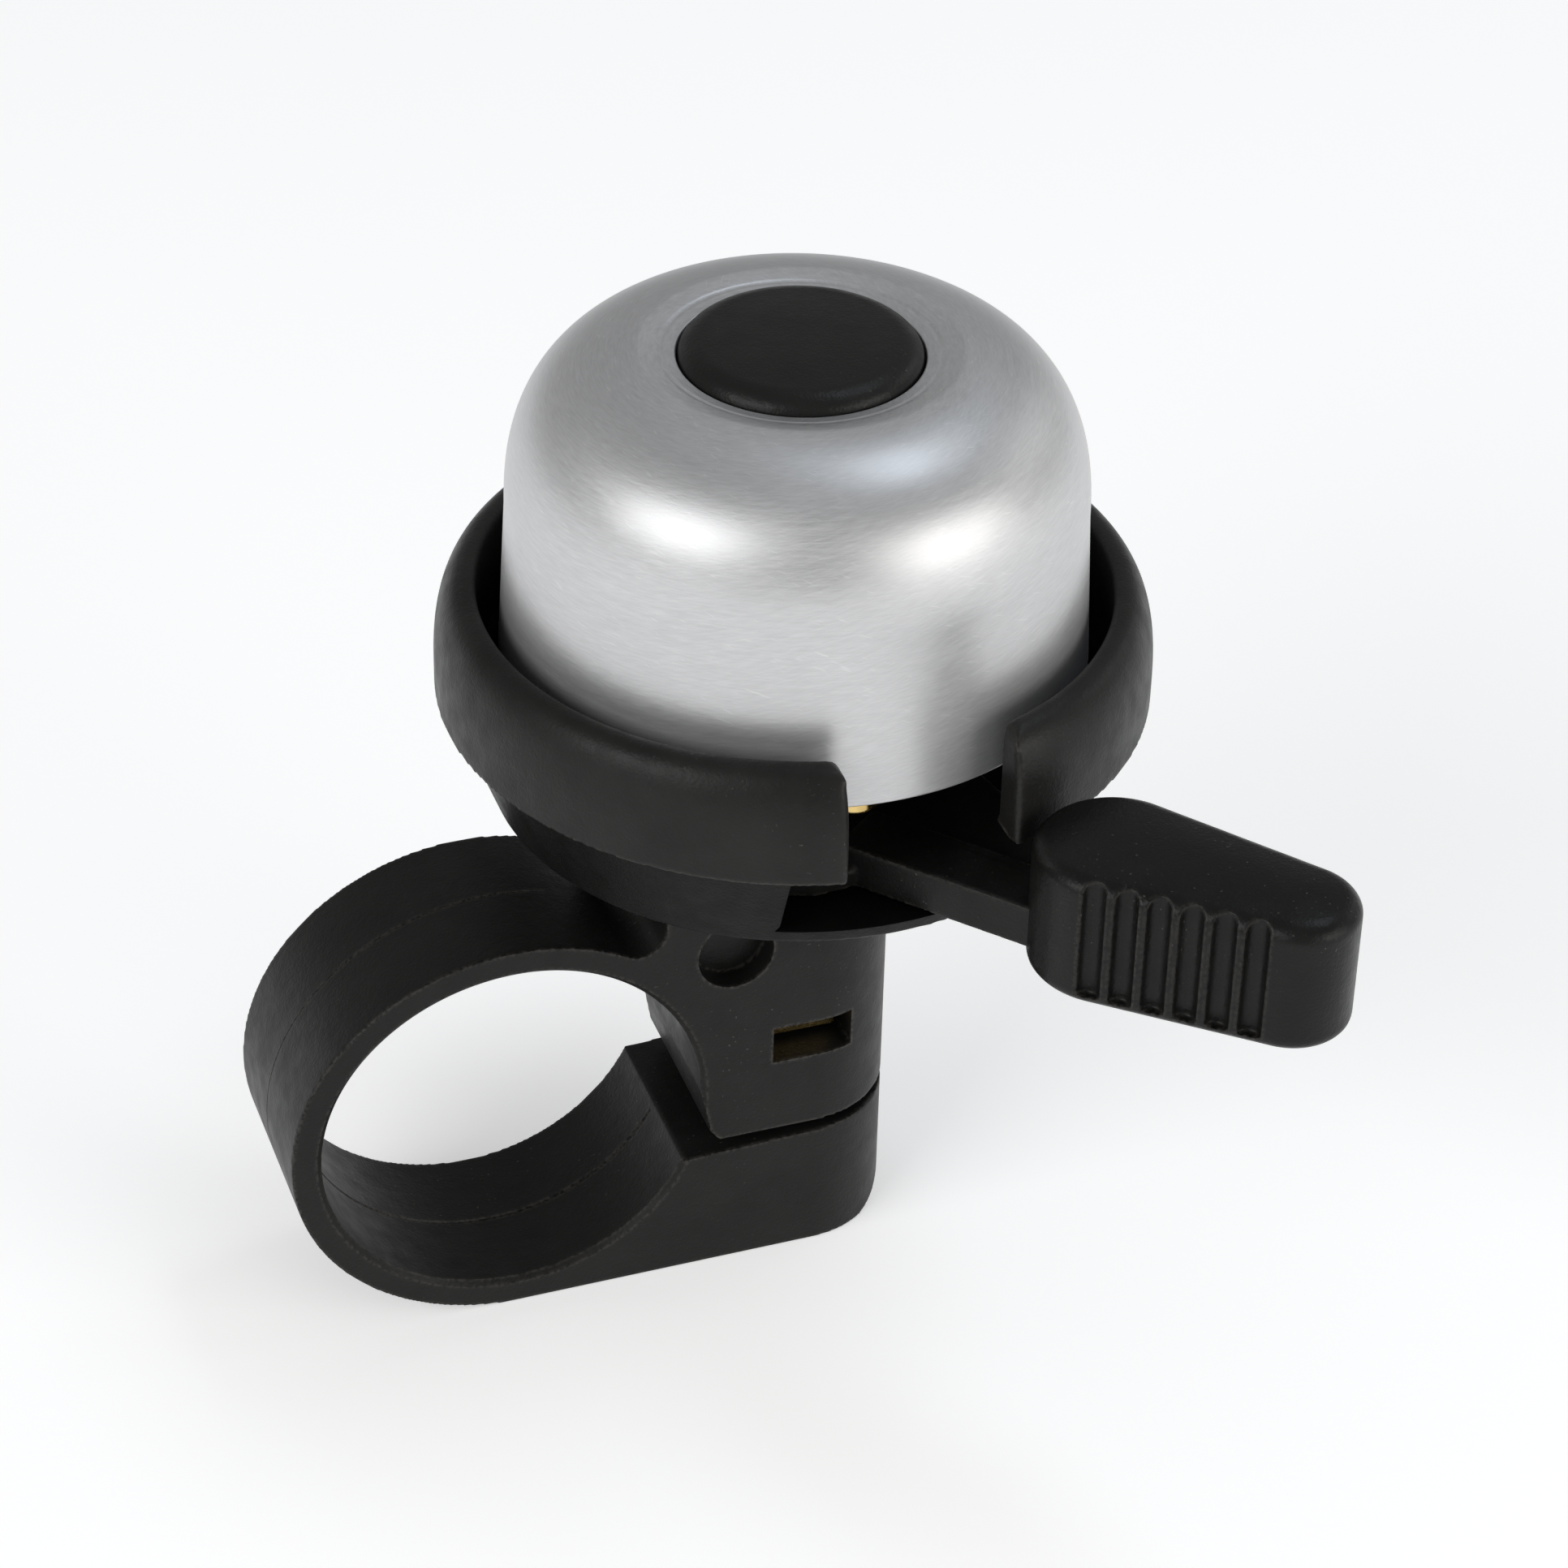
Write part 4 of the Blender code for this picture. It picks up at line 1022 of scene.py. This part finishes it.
def direction(azimuth, elevation):
    """Azimuth 0 is towards -Y and 90 towards +X, in degrees."""
    a, e = math.radians(azimuth), math.radians(elevation)
    return Vector((math.sin(a) * math.cos(e), -math.cos(a) * math.cos(e), math.sin(e)))


def camera():
    data = bpy.data.cameras.new("camera")
    data.sensor_width = 36
    data.lens = CAMERA_LENS
    data.clip_start = 0.01
    data.clip_end = 20
    obj = bpy.data.objects.new("camera", data)
    bpy.context.scene.collection.objects.link(obj)
    back = direction(CAMERA_TURN, CAMERA_RISE)
    obj.matrix_world = Matrix.Translation(CAMERA_AT) @ pointing(back, math.radians(CAMERA_ROLL))
    bpy.context.scene.camera = obj


def softbox(name, azimuth, elevation, distance, size, power, colour):
    data = bpy.data.lights.new(name, "AREA")
    data.shape = "RECTANGLE"
    data.size, data.size_y = size
    data.energy = power
    data.color = colour
    obj = bpy.data.objects.new(name, data)
    bpy.context.scene.collection.objects.link(obj)
    way = direction(azimuth, elevation)
    target = Vector((BELL[0], 0, DOME_SHOULDER)) * TO_METRES
    obj.matrix_world = Matrix.Translation(target + way * distance) @ pointing(way)


def studio():
    half, low = FLOOR_HALF, cad_box[0].z
    corners = [(-half, -half, low), (half, -half, low), (half, half, low), (-half, half, low)]
    mesh = bpy.data.meshes.new("floor")
    mesh.from_pydata(corners, [], [(0, 1, 2, 3)])
    floor = add("floor", mesh)
    paint = bpy.data.materials.new("floor_paint")
    paint.use_nodes = True
    shader = paint.node_tree.nodes["Principled BSDF"]
    shader.inputs["Base Color"].default_value = (FLOOR_TONE, FLOOR_TONE, FLOOR_TONE, 1)
    shader.inputs["Roughness"].default_value = 0.9
    shader.inputs["Specular IOR Level"].default_value = 0.1
    shader.inputs["Emission Color"].default_value = (1, 1, 1, 1)
    shader.inputs["Emission Strength"].default_value = FLOOR_GLOW
    floor.data.materials.append(paint)
    world = bpy.data.worlds.new("studio")
    world.use_nodes = True
    sky = world.node_tree.nodes["Background"]
    sky.inputs["Color"].default_value = (1, 1, 1, 1)
    sky.inputs["Strength"].default_value = SKY
    bpy.context.scene.world = world
    for lamp in SOFTBOXES:
        softbox(*lamp)
    bpy.context.scene.view_settings.view_transform = "Standard"


camera()
studio()
PLASTIC = charcoal_plastic("charcoal_plastic")
# Cup moulding: its collar toned lighter than the clamp; below the collar a darker tone is painted
# shade
CUP_PLASTIC = charcoal_plastic("charcoal_cup_plastic", 1.4, 0.6)
# The cap's wider light edge band is a painted sheen on its rounded rim
CAP_PLASTIC = charcoal_plastic("charcoal_cap_plastic", 1.2, edge_width=0.0008, shine=0.06)
PAD_PLASTIC = charcoal_plastic("charcoal_pad_plastic", 0.7, edge_width=0.0004, shine=0.07)
ALUMINIUM = brushed_aluminium()
STEEL = turned_metal("zinc_steel", (0.42, 0.43, 0.45), (0.62, 0.62, 0.63), 0.3)
BRASS = turned_metal("polished_brass", (0.55, 0.38, 0.14), (0.78, 0.58, 0.24), 0.22)
NYLON = nylon()
clamp_moulding()
cup_shell()
bell_dome()
crown_cap()
grip_pad()
press_arm()
clamp_bolt()
square_nut()
striker_hammer()
paint_nodes()
